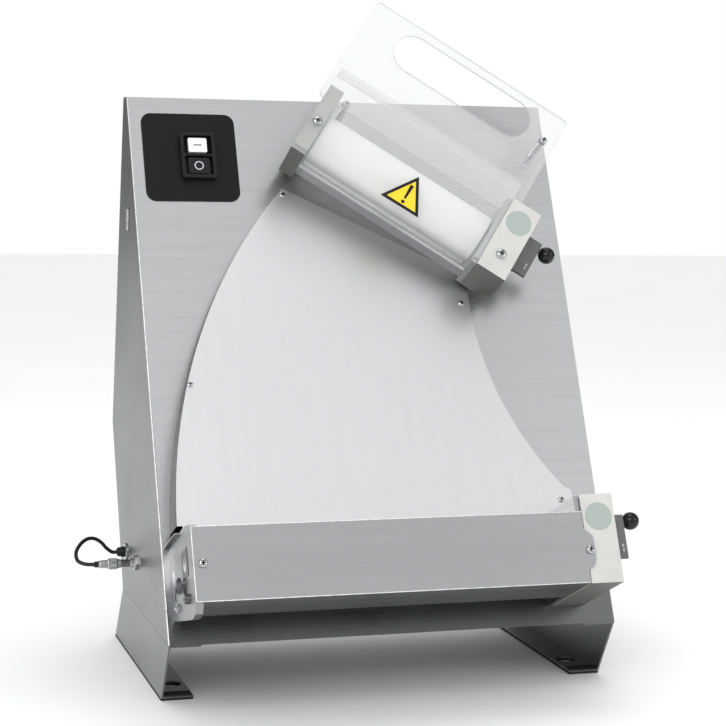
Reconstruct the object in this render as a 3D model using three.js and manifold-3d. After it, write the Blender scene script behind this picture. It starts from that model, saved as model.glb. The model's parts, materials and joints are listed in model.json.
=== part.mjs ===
// Tabletop dough sheeter: a leaning sheet-metal body that carries two pairs of rollers.
// Millimetres, +Z up, +X to the right as seen by the baker, the front faces -Y.
// The origin is on the surface it stands on, under the middle of its body.
import * as THREE from 'three';
import { mergeVertices } from 'three/addons/utils/BufferGeometryUtils.js';
import Module from 'manifold-3d';

const wasm = await Module();
wasm.setup();

// ---------- driving dimensions ----------
const gap = 0.3; // between pieces that touch
const sheet = 1.5; // stainless sheet of the body

const bodyWidth = 520;
const bodyDepth = 366; // front edge to the kink of the back
const panelLength = 653.5; // front panel, measured up its slope
const panelTilt = THREE.MathUtils.degToRad(25.24); // from vertical
const ridgeDepth = 21.3; // level strip at the top
const kinkHeight = 266; // where the back leans the other way
const baseDepth = 286; // of the body's underside
const baseFlange = 18; // folded in under the front panel

const legHeight = 71.5;
const legSheet = 2;
const legFlange = 36;
const legShiftFront = 42; // the legs slope backwards
const legShiftBack = 53;
const footThickness = 2.7;
const legHoleRadius = 12;
const legHoleFromFront = 49;
const legHoleFromSide = 20.5;

const rollerRadius = 30;
const nipGap = 2; // between the two rollers of a pair, at rest
const gapTravel = 4; // how far the lever opens it
const shaftRadius = 8;
const rollerEndGap = 2;
const axisOffset = rollerRadius + nipGap / 2; // nip to a roller's axis
const casingWidth = 38; // gear casing at the right end of each pair
const casingHeight = 100;
const casingFront = axisOffset + 42; // from the nip to the casing's front
const casingWall = 3;
const plateThickness = 6;
const plateInset = 1; // end plates stop short of the casing's outline
const slideSize = 30; // square bearing block of the front roller
const gearTeeth = 20;
const pinionTeeth = 10;
const gearWidth = 12;
const gearInset = 3; // casing's open side to the gear
const shaftPast = 3; // shafts end past their gears
const motorFace = -12; // gearboxes end just inside the right plates
const gearboxLength = 88;
const gearboxReach = 45; // up or down from the pinion's axis
const gearboxShort = 25; // the other way
const gearboxDepth = 32; // behind the pinion's axis
const gearboxFront = 13;
const gearboxFoot = 6; // ear that is bolted to the panel
const motorLength = 62;
const motorRadius = 24;
const motorDrop = 11; // the motor's axis lies behind the pinion's
const pinionShaftRadius = 6;
const pinionShaftReach = 48; // into the gearbox

const leverWidth = 19.2;
const leverLow = -19; // along the pair's height
const leverHigh = 31;
const leverFace = 19; // front of the channel, from the front roller's axis
const leverWeb = 4;
const leverCheek = 3;
const leverHubRadius = 10;
const knobRadius = 10;
const knobOut = 11.1; // from the lever's outer cheek to the ball's middle
const knobAt = { y: 24.5, z: 13 }; // from the front roller's axis
const knobPinRadius = 3;

const lowerRoller = { length: 420, casingX: 186.5, across: 71, nipHeight: 47, leftPlate: 8 };
const upperRoller = { length: 224, casingU: -139, across: 451, nipHeight: 15, leftPlate: 18 };
const casingBaseWidth = 19; // the upper casing narrows towards the panel
const casingBaseLow = 9;
const casingBaseHigh = 25;
const upperTurn = THREE.MathUtils.degToRad(35); // the upper pair slopes down to the right

const chuteSheet = 1.5;
const chuteTop = { s: 540, h: 3 }; // height of the chute's face above the panel, at two places
const chuteFoot = { s: 110, h: 44 };
const chuteLeftArc = { x: 420, s: 95, r: 670 };
const chuteRightArc = { x: 500, s: 379, r: 373 };
const chuteTopEdge = 418; // across the upper pair
const chuteEarX = 212; // small ear beside the lower casing
const chuteEarS = 148;
const chuteTailS = 85;

const leftPlateTop = 38.5; // of the lower pair's left plate, from the nip line
const leftPlateFlange = 5;
const leftPlateNotch = { z: 18, width: 6, depth: 5 };

const coverSheet = 1.5;
const coverLow = -casingHeight / 2 + 0.5; // from the nip line
const coverHeight = 80;
const coverReturn = 15; // folded back at the top
const coverUnder = 30; // folded back at the bottom
const coverEar = 10; // it laps the casing round the right screw
const scraperLip = 15; // lower scraper: its edge towards the rollers
const scraperGap = 1.3; // to the cover's lower fold
const scraperBack = 2;

const screwRadius = 2.5;

const guardSheet = 4;
const guardLowerReturn = 34;
const guardUpperReturn = 22;
const guardTop = 77; // above the nip line
const handPlate = { x0: -261, x1: 15, y0: 54, y1: 210, z: 25, t: 3.5 };
const handSlot = { x0: -215, x1: -24, y0: 146, y1: 198 };

const switchPlate = { x0: -245.5, x1: -134, s0: 520.5, s1: 632.3, r: 12, t: 1.2 };
const switchBox = { x: -181.7, s: 576.2, w: 41, l: 58, front: 9, back: 34 };
const switchNeck = 3; // the holes for the switch are this much smaller than its bezel
const switchWell = 4; // bezel rim round the buttons
const buttonGap = 0.5;
const wellFloor = -6;
const buttonTravel = 2.5;

const ventFront = 257; // lanced slot high on the left side
const ventWidth = 5;
const ventLow = 505;
const ventHigh = 533;

const inletX = 163;
const inletZ = 120;
const inletHalf = { u: 12, v: 11 }; // the socket's body through the back
const inletFrame = 5; // its rim stands past the body
const inletDepth = 14;

const pedalY = 192;
const pedalZ = 123;
const glandY = 262;
const glandZ = 122;
const leadRadius = 2.2;

// ---------- materials ----------
function finish(color, metalness, roughness, extra = {}) {
  return new THREE.MeshStandardMaterial({ color, metalness, roughness, ...extra });
}
const steel = () => finish(0xb4b5b6, 0.9, 0.34);
const brightSteel = () => finish(0xd9dadb, 0.85, 0.3);
const darkSteel = () => finish(0x6b6e70, 0.9, 0.45);
const aluminium = () => finish(0xc9c9c5, 0.5, 0.5);
const whitePlastic = () => finish(0xf0f0ee, 0, 0.45);
const blackPlastic = () => finish(0x18181a, 0, 0.4);
const clearPlastic = () => finish(0xdfe3e3, 0, 0.1, { transparent: true, opacity: 0.35 });
const rubber = () => finish(0x2a2a2b, 0, 0.85);
const zinc = () => finish(0xb9bcbe, 0.95, 0.25);

// ---------- solids ----------
function toSolid(geometry) {
  const bare = geometry.clone();
  bare.deleteAttribute('normal');
  bare.deleteAttribute('uv');
  const welded = mergeVertices(bare, 1e-4);
  return new wasm.Manifold(new wasm.Mesh({
    numProp: 3,
    vertProperties: Float32Array.from(welded.attributes.position.array),
    triVerts: Uint32Array.from(welded.index.array),
  }));
}

function toGeometry(solid) {
  const { vertProperties, triVerts } = solid.getMesh();
  const geometry = new THREE.BufferGeometry();
  geometry.setAttribute('position', new THREE.BufferAttribute(Float32Array.from(vertProperties), 3));
  geometry.setIndex(new THREE.BufferAttribute(Uint32Array.from(triVerts), 1));
  geometry.computeVertexNormals();
  return geometry;
}

function cut(base, ...tools) {
  return toGeometry(tools.reduce((solid, tool) => solid.subtract(toSolid(tool)), toSolid(base)));
}

function join(base, ...others) {
  return toGeometry(others.reduce((solid, other) => solid.add(toSolid(other)), toSolid(base)));
}

function common(base, other) {
  return toGeometry(toSolid(base).intersect(toSolid(other)));
}

function block([x0, x1], [y0, y1], [z0, z1]) {
  const geometry = new THREE.BoxGeometry(x1 - x0, y1 - y0, z1 - z0);
  return geometry.translate((x0 + x1) / 2, (y0 + y1) / 2, (z0 + z1) / 2);
}

function outline(points) {
  return new THREE.Shape(points.map(([a, b]) => new THREE.Vector2(a, b)));
}

function roundedOutline(x0, y0, x1, y1, r) {
  const shape = new THREE.Shape();
  shape.moveTo(x0 + r, y0);
  shape.lineTo(x1 - r, y0);
  shape.absarc(x1 - r, y0 + r, r, -Math.PI / 2, 0);
  shape.lineTo(x1, y1 - r);
  shape.absarc(x1 - r, y1 - r, r, 0, Math.PI / 2);
  shape.lineTo(x0 + r, y1);
  shape.absarc(x0 + r, y1 - r, r, Math.PI / 2, Math.PI);
  shape.lineTo(x0, y0 + r);
  shape.absarc(x0 + r, y0 + r, r, Math.PI, 1.5 * Math.PI);
  return shape;
}

// an outline in x and y, thick from z0 to z1
function plate(shape, z0, z1, curveSegments = 8) {
  const geometry = new THREE.ExtrudeGeometry(shape, { depth: z1 - z0, bevelEnabled: false, curveSegments });
  return geometry.translate(0, 0, z0);
}

// an outline in y and z, long from x0 to x1
function barX(shape, x0, x1, curveSegments = 8) {
  const turn = new THREE.Matrix4().makeBasis(
    new THREE.Vector3(0, 1, 0), new THREE.Vector3(0, 0, 1), new THREE.Vector3(1, 0, 0));
  return plate(shape, x0, x1, curveSegments).applyMatrix4(turn);
}

// an outline in x and z, long from y0 to y1
function barY(shape, y0, y1) {
  return plate(shape, -y1, -y0).rotateX(Math.PI / 2);
}

function rodX(radius, x0, x1, y, z, sides = 32) {
  const rod = new THREE.CylinderGeometry(radius, radius, x1 - x0, sides);
  return rod.rotateZ(Math.PI / 2).translate((x0 + x1) / 2, y, z);
}

function rodZ(radius, z0, z1, x, y, sides = 32) {
  const rod = new THREE.CylinderGeometry(radius, radius, z1 - z0, sides);
  return rod.rotateX(Math.PI / 2).translate(x, y, (z0 + z1) / 2);
}

// a turned piece: [radius, height] steps from the axis and back to it, standing along z
function turned(steps, x, y, z, sides = 24) {
  const profile = steps.map(([radius, height]) => new THREE.Vector2(radius, height));
  return new THREE.LatheGeometry(profile, sides).rotateX(Math.PI / 2).translate(x, y, z);
}

// a path in two axes, moved to its left
function beside(path, distance) {
  const points = path.map(([a, b]) => new THREE.Vector2(a, b));
  return points.map((point, i) => {
    const into = points[i].clone().sub(points[Math.max(i - 1, 0)]);
    const out = points[Math.min(i + 1, points.length - 1)].clone().sub(points[i]);
    const first = (into.length() ? into : out).clone().normalize();
    const last = (out.length() ? out : into).clone().normalize();
    const normal = new THREE.Vector2(-first.y - last.y, first.x + last.x).normalize();
    const stretch = 1 / (normal.x * -first.y + normal.y * first.x);
    const moved = point.clone().addScaledVector(normal, distance * stretch);
    return [moved.x, moved.y];
  });
}

// folded sheet: a path thickened to its left
function folded(path, thickness) {
  return outline([...path, ...beside(path, thickness).reverse()]);
}

const machine = new THREE.Group();

function add(parent, name, geometry, material) {
  const mesh = new THREE.Mesh(geometry, material);
  mesh.name = name;
  parent.add(mesh);
  return mesh;
}

// ---------- the body ----------
const panelTop = {
  y: panelLength * Math.sin(panelTilt),
  z: legHeight + panelLength * Math.cos(panelTilt),
};
const ridgeBack = panelTop.y + ridgeDepth;

// panel frame: x across, y up the slope, z out of the panel
const panel = new THREE.Group();
panel.position.set(0, 0, legHeight);
panel.rotation.x = Math.PI / 2 - panelTilt;
panel.updateMatrix();
machine.add(panel);

// upper pair frame, inside the panel's: x along its rollers
const upper = new THREE.Group();
const along = new THREE.Vector2(Math.cos(upperTurn), -Math.sin(upperTurn));
const athwart = new THREE.Vector2(Math.sin(upperTurn), Math.cos(upperTurn));
upper.position.set(
  along.x * upperRoller.casingU + athwart.x * upperRoller.across,
  along.y * upperRoller.casingU + athwart.y * upperRoller.across,
  upperRoller.nipHeight);
upper.rotation.z = -upperTurn;
upper.updateMatrix();
panel.add(upper);

const lower = new THREE.Group();
lower.position.set(lowerRoller.casingX, lowerRoller.across, lowerRoller.nipHeight);
lower.updateMatrix();
panel.add(lower);

const gearModule = (2 * axisOffset) / gearTeeth;
const pinionOffset = axisOffset + (gearModule * (gearTeeth + pinionTeeth)) / 2;
const gearTip = axisOffset + gearModule;
const rollerEnd = -gap - plateThickness - rollerEndGap; // right end of the rollers
const leftPlateFace = (pair) => rollerEnd - pair.length - rollerEndGap;
const slotHalf = slideSize / 2 + gap;

function inPanel(geometry) {
  return geometry.applyMatrix4(panel.matrix);
}

function inUpper(geometry) {
  return inPanel(geometry.applyMatrix4(upper.matrix));
}

function inLower(geometry) {
  return inPanel(geometry.applyMatrix4(lower.matrix));
}

// what a roller pair needs through the panel: its rear roller, its end plates and its gears
function panelWindow(pair, endPlates) {
  const half = rollerRadius - 1;
  const left = leftPlateFace(pair) - (endPlates ? pair.leftPlate + 1 : -1);
  const right = endPlates ? 0 : rollerEnd + 1;
  const depth = [-pair.nipHeight - 10, -pair.nipHeight + 10];
  const rollers = block([left, right], [-half, half], depth);
  const gears = block([gearInset - 3, gearInset + gearWidth + 3], [-gearTip - 2, gearTip + 2], depth);
  return endPlates ? [rollers, gears, block([-1, gearInset], [-half, half], depth)] : [rollers, gears];
}

function switchHole() {
  const half = [switchBox.w / 2 - switchNeck, switchBox.l / 2 - switchNeck];
  return block([switchBox.x - half[0], switchBox.x + half[0]], [switchBox.s - half[1], switchBox.s + half[1]], [-10, 10]);
}

const panelPath = [
  [baseFlange, legHeight], [0, legHeight], [panelTop.y, panelTop.z], [ridgeBack, panelTop.z],
];
const panelProfile = folded([...panelPath].reverse(), sheet);
add(machine, 'front_panel', cut(
  barX(panelProfile, -bodyWidth / 2, bodyWidth / 2),
  ...panelWindow(lowerRoller, false).map(inLower),
  ...panelWindow(upperRoller, true).map(inUpper),
  inPanel(switchHole()),
), steel());

// the sides stand just behind the front panel's sheet
const sidePath = [
  ...beside([...panelPath].reverse(), sheet + gap),
  [baseFlange, legHeight], [baseDepth, legHeight], [bodyDepth, kinkHeight],
];
for (const [name, side] of [['left_side_panel', -1], ['right_side_panel', 1]]) {
  const edges = [side * (bodyWidth / 2), side * (bodyWidth / 2 - sheet)].sort((a, b) => a - b);
  const wall = barX(outline(sidePath), edges[0], edges[1]);
  const slot = side < 0
    ? [block([-bodyWidth, 0], [ventFront, ventFront + ventWidth], [ventLow, ventHigh])]
    : [];
  add(machine, name, cut(wall, ...slot), steel());
}

function inletBlock(grow, z) {
  const u = inletHalf.u + grow;
  const v = inletHalf.v + grow;
  return block([-u, u], [-v, v], z);
}

const backPath = [
  [ridgeBack, panelTop.z - sheet - gap], [bodyDepth, kinkHeight], [baseDepth, legHeight],
  [baseFlange + gap, legHeight],
];
const insideWidth = bodyWidth / 2 - sheet - gap;
const backLean = Math.atan2(bodyDepth - baseDepth, kinkHeight - legHeight);
// mains inlet, square to the lower part of the back
const inlet = new THREE.Group();
inlet.position.set(inletX, baseDepth + (inletZ - legHeight) * Math.tan(backLean), inletZ);
inlet.rotation.x = -backLean - Math.PI / 2;
inlet.updateMatrix();
machine.add(inlet);
add(machine, 'back_cover', cut(
  barX(folded([...backPath].reverse(), sheet), -insideWidth, insideWidth),
  inletBlock(gap, [-20, 20]).applyMatrix4(inlet.matrix),
), steel());
add(inlet, 'power_inlet', join(
  inletBlock(0, [-inletDepth, gap]),
  cut(inletBlock(inletFrame, [gap, 4]), inletBlock(-3.5, [2, 6])),
), blackPlastic());

// ---------- legs ----------
// a length from 0 to 1 becomes the leg's slanted front and back
function slant(geometry) {
  const at = geometry.attributes.position;
  for (let i = 0; i < at.count; i += 1) {
    const drop = 1 - at.getZ(i) / legHeight;
    const front = legShiftFront * drop;
    const back = baseDepth + legShiftBack * drop;
    at.setY(i, front + (back - front) * at.getY(i));
  }
  return geometry;
}

for (const [side, sign] of [['left', -1], ['right', 1]]) {
  const outer = sign * (bodyWidth / 2);
  const inner = outer - sign * legFlange;
  const low = footThickness + gap;
  const high = legHeight - gap;
  const path = [[inner, high], [outer, high], [outer, low], [inner, low]];
  const section = folded(sign < 0 ? path : [...path].reverse(), legSheet);
  const holeY = legShiftFront + legHoleFromFront;
  const hole = rodZ(legHoleRadius, -1, low + legSheet + 1, outer - sign * legHoleFromSide, holeY);
  add(machine, `${side}_leg`, cut(slant(barY(section, 0, 1)), hole), darkSteel());
  const strip = block([Math.min(outer, inner), Math.max(outer, inner)], [0, 1], [0, footThickness]);
  add(machine, `${side}_foot_strip`, cut(slant(strip), hole), rubber());
}

// ---------- chute ----------
const chuteSlope = (chuteTop.h - chuteFoot.h) / (chuteTop.s - chuteFoot.s);
const chuteFace = (s) => chuteFoot.h + (s - chuteFoot.s) * chuteSlope;

function arcX({ x, s, r }, at) {
  return x - Math.sqrt(r * r - (at - s) * (at - s));
}

// the curved sides, drawn in by `inset`
function chuteOutline(inset) {
  const left = { ...chuteLeftArc, r: chuteLeftArc.r - inset };
  const right = { ...chuteRightArc, r: chuteRightArc.r + inset };
  const topLeftS = 537;
  const topS = (x) => (chuteTopEdge - athwart.x * x) / athwart.y;
  let topRightS = 420;
  for (let i = 0; i < 20; i += 1) topRightS = topS(arcX(right, topRightS));
  const points = [];
  const steps = 24;
  const casingTop = lowerRoller.across + casingHeight / 2 + 2 * gap;
  for (let i = 0; i <= steps; i += 1) {
    const s = casingTop + ((topLeftS - casingTop) * i) / steps;
    points.push([arcX(left, s), s]);
  }
  for (let i = 0; i <= steps; i += 1) {
    const s = topRightS + ((chuteEarS + 4 - topRightS) * i) / steps;
    points.push([arcX(right, s), s]);
  }
  points.push([chuteEarX - inset, chuteEarS - inset], [chuteEarX - inset, casingTop]);
  return points;
}

const chuteEnd = lowerRoller.across + casingHeight / 2 + 2 * gap;
const lowerPlateX = [
  lowerRoller.casingX + leftPlateFace(lowerRoller) + gap,
  lowerRoller.casingX - gap - plateThickness - gap,
];
function underFace(offset, s0, s1) {
  const slab = outline([
    [s0, -20], [s1, -20], [s1, chuteFace(s1) + offset], [s0, chuteFace(s0) + offset],
  ]);
  return barX(slab, -bodyWidth, bodyWidth);
}
const chuteBlank = join(
  plate(outline(chuteOutline(0).reverse()), gap, 90),
  block(lowerPlateX, [chuteTailS, chuteEnd + 1], [gap, 90]));
const chuteCore = join(
  plate(outline(chuteOutline(chuteSheet).reverse()), -5, 90),
  block([lowerPlateX[0] - 20, lowerPlateX[1] + 60], [chuteTailS - 5, chuteEnd + 0.5], [-5, 90]));
const belowFace = common(chuteCore, underFace(-chuteSheet, chuteTailS - 6, 480));
add(panel, 'chute_plate', cut(
  common(chuteBlank, underFace(0, chuteTailS - 6, 600)), belowFace,
), brightSteel());

// ---------- switch ----------
add(panel, 'switch_plate', cut(
  plate(roundedOutline(switchPlate.x0, switchPlate.s0, switchPlate.x1, switchPlate.s1, switchPlate.r),
    gap, gap + switchPlate.t),
  switchHole(),
), blackPlastic());

const boxX = [switchBox.x - switchBox.w / 2, switchBox.x + switchBox.w / 2];
const boxS = [switchBox.s - switchBox.l / 2, switchBox.s + switchBox.l / 2];
const bezelBack = gap + switchPlate.t + gap;
const wellX = [boxX[0] + switchWell, boxX[1] - switchWell];
const wells = [
  [wellX, [switchBox.s + 1, boxS[1] - switchWell]],
  [wellX, [boxS[0] + switchWell, switchBox.s - 1]],
];
add(panel, 'switch_body', cut(
  join(
    plate(roundedOutline(boxX[0], boxS[0], boxX[1], boxS[1], 3), bezelBack, switchBox.front),
    block([boxX[0] + switchNeck + 1, boxX[1] - switchNeck - 1], [boxS[0] + switchNeck + 1, boxS[1] - switchNeck - 1],
      [-switchBox.back, bezelBack + 1])),
  ...wells.map(([x, s]) => block(x, s, [wellFloor, switchBox.front + 1])),
), blackPlastic());

[['start_button', whitePlastic()], ['stop_button', blackPlastic()]].forEach(([name, material], i) => {
  const [x, s] = wells[i];
  const cap = plate(
    roundedOutline(x[0] + buttonGap, s[0] + buttonGap, x[1] - buttonGap, s[1] - buttonGap, 2),
    wellFloor + gap + buttonTravel, switchBox.front + 1 - 2 * i);
  const dish = rodZ(60, 0, 10, 0, 0, 96).scale(1, 1, 0.1)
    .translate((x[0] + x[1]) / 2, (s[0] + s[1]) / 2, switchBox.front + 2);
  add(panel, name, cut(cap, dish), material);
});

// ---------- a gear with straight-sided teeth, across x ----------
function gearOutline(teeth, turn) {
  const pitchRadius = (gearModule * teeth) / 2;
  const tip = pitchRadius + 0.8 * gearModule;
  const root = pitchRadius - 1.1 * gearModule;
  const pitch = (2 * Math.PI) / teeth;
  const points = [];
  for (let i = 0; i < teeth; i += 1) {
    const middle = Math.PI / 2 + turn * pitch + i * pitch;
    for (const [radius, share] of [[root, -0.27], [tip, -0.12], [tip, 0.12], [root, 0.27]]) {
      const angle = middle + share * pitch;
      points.push([radius * Math.cos(angle), radius * Math.sin(angle)]);
    }
  }
  return outline(points);
}

function gear(teeth, turn, z, bore) {
  const shape = gearOutline(teeth, turn);
  const disc = barX(shape, gearInset, gearInset + gearWidth).translate(0, 0, z);
  return bore ? cut(disc, rodX(bore, 0, 60, 0, z)) : disc;
}

// ---------- a pair of rollers with everything that carries and turns them ----------
function rollerPair(group, label, pair, form) {
  const face = leftPlateFace(pair);
  const outerFace = face - pair.leftPlate;
  const rightPlate = [-gap - plateThickness, -gap];
  const half = casingHeight / 2;
  const bore = shaftRadius + gap;
  const slot = [axisOffset - slotHalf, axisOffset + slotHalf + gapTravel];
  const shaftEnd = gearInset + gearWidth + shaftPast;

  // end plates
  for (const [name, x, body, material] of [
    [form.leftName, [outerFace, face], form.leftBody([outerFace, face]), form.leftMaterial],
    ['right_plate', rightPlate,
      block(rightPlate, [-half + plateInset, half - plateInset], [form.rightLow, casingFront - casingWall - plateInset]),
      steel()],
  ]) {
    const tongue = form.tongue
      ? join(body, block(x, [-rollerRadius + 3, rollerRadius - 3], [form.tongue, form.rightLow + 1]))
      : body;
    add(group, `${label}_${name}`, cut(
      tongue,
      rodX(bore, x[0] - 1, x[1] + 1, 0, -axisOffset),
      block([x[0] - 1, x[1] + 1], [-slotHalf, slotHalf], slot),
    ), material);
  }

  // gear casing, open towards the rollers and behind
  const outerShape = form.casing(0);
  const innerShape = form.casing(casingWall);
  add(group, `${label}_gear_casing`, cut(
    barY(outline(outerShape), -half, half),
    barY(outline(innerShape), -half + casingWall, half - casingWall),
  ), aluminium());

  // rollers, shafts and gears
  for (const [which, z, toothTurn] of [['rear', -axisOffset, 0], ['front', axisOffset, 0.5]]) {
    add(group, `${label}_${which}_roller`, cut(
      rodX(rollerRadius, rollerEnd - pair.length, rollerEnd, 0, z, 64),
      rodX(bore, rollerEnd - pair.length - 1, rollerEnd + 1, 0, z),
    ), whitePlastic());
    add(group, `${label}_${which}_shaft`, rodX(shaftRadius, outerFace, shaftEnd, 0, z), zinc());
    add(group, `${label}_${which}_gear`, gear(gearTeeth, toothTurn, z, bore), darkSteel());
  }

  // sliding bearing blocks of the front roller
  for (const [name, x] of [['left_slide', [outerFace, face]], ['right_slide', rightPlate]]) {
    add(group, `${label}_${name}`, cut(
      block(x, [-slideSize / 2, slideSize / 2], [axisOffset - slideSize / 2, axisOffset + slideSize / 2]),
      rodX(bore, x[0] - 1, x[1] + 1, 0, axisOffset),
    ), darkSteel());
  }

  // drive: a geared motor whose pinion turns the rear gear
  const pinionZ = -pinionOffset;
  const towards = (a, b) => (form.motorAbove ? [a, b] : [-b, -a]);
  const gearbox = [motorFace - gearboxLength, motorFace];
  add(group, `${label}_gearmotor`, cut(
    join(
      block(gearbox, towards(-gearboxShort, gearboxReach), [pinionZ - gearboxDepth, pinionZ + gearboxFront]),
      rodX(motorRadius, gearbox[0] - motorLength, gearbox[0] + 1,
        form.motorAbove ? motorRadius : -motorRadius, pinionZ - motorDrop, 40),
      block(gearbox, towards(gearboxReach - gearboxFoot, gearboxReach), [pinionZ, -pair.nipHeight - sheet - gap])),
    rodX(pinionShaftRadius + gap, motorFace - pinionShaftReach - 2, motorFace + 1, 0, pinionZ),
  ), aluminium());
  add(group, `${label}_motor_pinion`, join(
    gear(pinionTeeth, 0.5, pinionZ, 0),
    rodX(pinionShaftRadius, motorFace - pinionShaftReach, gearInset + 1, 0, pinionZ),
  ), darkSteel());

  // thickness lever: a channel on the front roller's axis outside the casing, with a ball knob on a pin
  const inner = casingWidth + gap + 1;
  const outer = inner + leverWidth;
  const webBack = axisOffset + leverFace - leverWeb;
  const knob = { x: outer + knobOut, y: knobAt.y, z: axisOffset + knobAt.z };
  add(group, `${label}_lever`, join(
    block([inner, outer], [leverLow, leverHigh], [webBack, axisOffset + leverFace]),
    block([inner, inner + leverCheek], [-leverHubRadius, leverHubRadius], [axisOffset, webBack + 1]),
    rodX(leverHubRadius, inner, inner + 2 * leverCheek, 0, axisOffset),
    block([outer - leverCheek, outer], [knob.y - 8, leverHigh], [knob.z - 8, webBack + 1]),
    rodX(knobPinRadius, outer - leverCheek - 1, knob.x, knob.y, knob.z, 16),
  ), darkSteel());
  add(group, `${label}_knob`, cut(
    new THREE.SphereGeometry(knobRadius, 24, 16).rotateZ(Math.PI / 2).translate(knob.x, knob.y, knob.z),
    rodX(knobPinRadius + gap, outer, knob.x + gap, knob.y, knob.z, 16),
  ), blackPlastic());
}

// the lower left plate: a rounded upper front corner, a slanted lower edge, a notch and a flange along its top
const panelFaceLower = -lowerRoller.nipHeight + gap;
function lowerLeftBody(x) {
  const { z, width, depth } = leftPlateNotch;
  const shape = outline([
    [-44, panelFaceLower], [leftPlateTop, panelFaceLower],
    [leftPlateTop, z - width / 2], [leftPlateTop - depth, z - width / 2],
    [leftPlateTop - depth, z + width / 2], [leftPlateTop, z + width / 2],
    [leftPlateTop, axisOffset + 11], [leftPlateTop - 3, axisOffset + 29], [leftPlateTop - 10, casingFront],
    [coverLow - 1, casingFront], [-60, casingFront - 8], [-62, casingFront - 23], [-57, -axisOffset + 51],
  ]);
  const flange = block([x[0] - leftPlateFlange, x[0] + 1], [leftPlateTop - sheet, leftPlateTop],
    [panelFaceLower, z - width / 2]);
  return join(barX(shape, x[0], x[1]), flange);
}

rollerPair(lower, 'lower', lowerRoller, {
  leftName: 'left_plate',
  leftBody: lowerLeftBody,
  leftMaterial: steel(),
  rightLow: panelFaceLower,
  motorAbove: true,
  casing: (wall) => (wall
    ? [[-1, panelFaceLower - 40], [casingWidth - wall, panelFaceLower - 40],
      [casingWidth - wall, casingFront - wall], [-1, casingFront - wall]]
    : [[0, panelFaceLower], [casingWidth, panelFaceLower], [casingWidth, casingFront], [0, casingFront]]),
});

rollerPair(upper, 'upper', upperRoller, {
  leftName: 'left_bracket',
  leftBody: (x) => block(x, [-casingHeight / 2 + plateInset, casingHeight / 2 - plateInset],
    [casingBaseLow - 4, casingFront - guardSheet]),
  leftMaterial: aluminium(),
  rightLow: casingBaseLow,
  tongue: -axisOffset - 21,
  casing: (wall) => (wall
    ? [[-1, 0], [casingBaseWidth - wall, 0], [casingBaseWidth - wall, casingBaseLow + wall / 2],
      [casingWidth - wall, casingBaseHigh + wall / 2], [casingWidth - wall, casingFront - wall],
      [-1, casingFront - wall]]
    : [[0, casingBaseLow], [casingBaseWidth, casingBaseLow], [casingWidth, casingBaseHigh],
      [casingWidth, casingFront], [0, casingFront]]),
});

// ---------- lower cover ----------
const coverX = [leftPlateFace(lowerRoller) - lowerRoller.leftPlate, -1.5];
const coverY = [coverLow, coverLow + coverHeight];
const coverBack = casingFront + gap;
const coverFront = coverBack + coverSheet;
const betweenPlates = (pair) => [leftPlateFace(pair) + gap, -gap - plateThickness - gap];
const returnX = betweenPlates(lowerRoller);
const screwHole = (x, y) => rodZ(screwRadius + gap, coverBack - 1, coverFront + 1, x, y, 16);
const coverScrews = [[coverX[0] + 10, -9], [3, -13]];
const ear = [
  [coverX[1] - 1, 12], [coverEar - 3.5, 4], [coverEar - 1.5, 0], [coverEar - 1.5, -22], [coverEar - 3, -28],
  [coverEar - 7, -33], [coverX[1] - 1, -34.5],
];
add(lower, 'lower_cover', cut(
  join(
    block(coverX, coverY, [coverBack, coverFront]),
    block(returnX, [coverY[1] - coverSheet, coverY[1]], [coverFront - coverReturn, coverFront]),
    block(returnX, [coverY[0], coverY[0] + coverSheet], [coverFront - coverUnder, coverFront]),
    plate(outline([...ear].reverse()), coverBack, coverFront)),
  ...coverScrews.map(([x, y]) => screwHole(x, y)),
), steel());

// scraper under the front roller, in line with the cover's lower fold
add(lower, 'lower_scraper', barX(
  folded([
    [coverLow, coverFront - coverUnder - scraperGap], [coverLow, scraperBack],
    [coverLow + scraperLip, scraperBack],
  ], sheet),
  returnX[0], returnX[1],
), steel());

function screw(parent, name, x, y, face, into, headRadius = 5) {
  const steps = [
    [0, -into], [screwRadius, -into], [screwRadius, gap], [headRadius, gap], [headRadius, 1.8],
    [headRadius * 0.72, 3.4], [0, 4],
  ];
  return add(parent, name, turned(steps, x, y, face, 20), zinc());
}

// the screws' threads end in blind holes of the plates behind
screw(lower, 'cover_screw_left', coverScrews[0][0], coverScrews[0][1], coverFront, coverSheet);
screw(lower, 'cover_screw_right', coverScrews[1][0], coverScrews[1][1], coverFront, coverSheet);

// wire spring on the outside of the lower left plate
const springX = leftPlateFace(lowerRoller) - lowerRoller.leftPlate - 1.5;
const springCoil = { y: -18.5, z: 13, radius: 8, turns: 2.5, length: 5 };
function springPath() {
  const { y, z, radius, turns, length } = springCoil;
  const steps = 30;
  const points = [
    new THREE.Vector3(springX, y - 20, z + 28),
    new THREE.Vector3(springX, y - 10, z + 12),
  ];
  for (let i = 0; i <= steps; i += 1) {
    const angle = (turns * 2 * Math.PI * i) / steps;
    points.push(new THREE.Vector3(
      springX - length * (i / steps), y - radius * Math.sin(angle), z + radius * Math.cos(angle)));
  }
  points.push(new THREE.Vector3(springX - length, y - 14, z - 12));
  return new THREE.CatmullRomCurve3(points, false, 'centripetal');
}
const wireSection = new THREE.Shape().absarc(0, 0, 0.9, 0, 2 * Math.PI);
add(lower, 'scraper_spring', new THREE.ExtrudeGeometry(wireSection, {
  steps: 60, bevelEnabled: false, curveSegments: 3, extrudePath: springPath(),
}), zinc());

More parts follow.
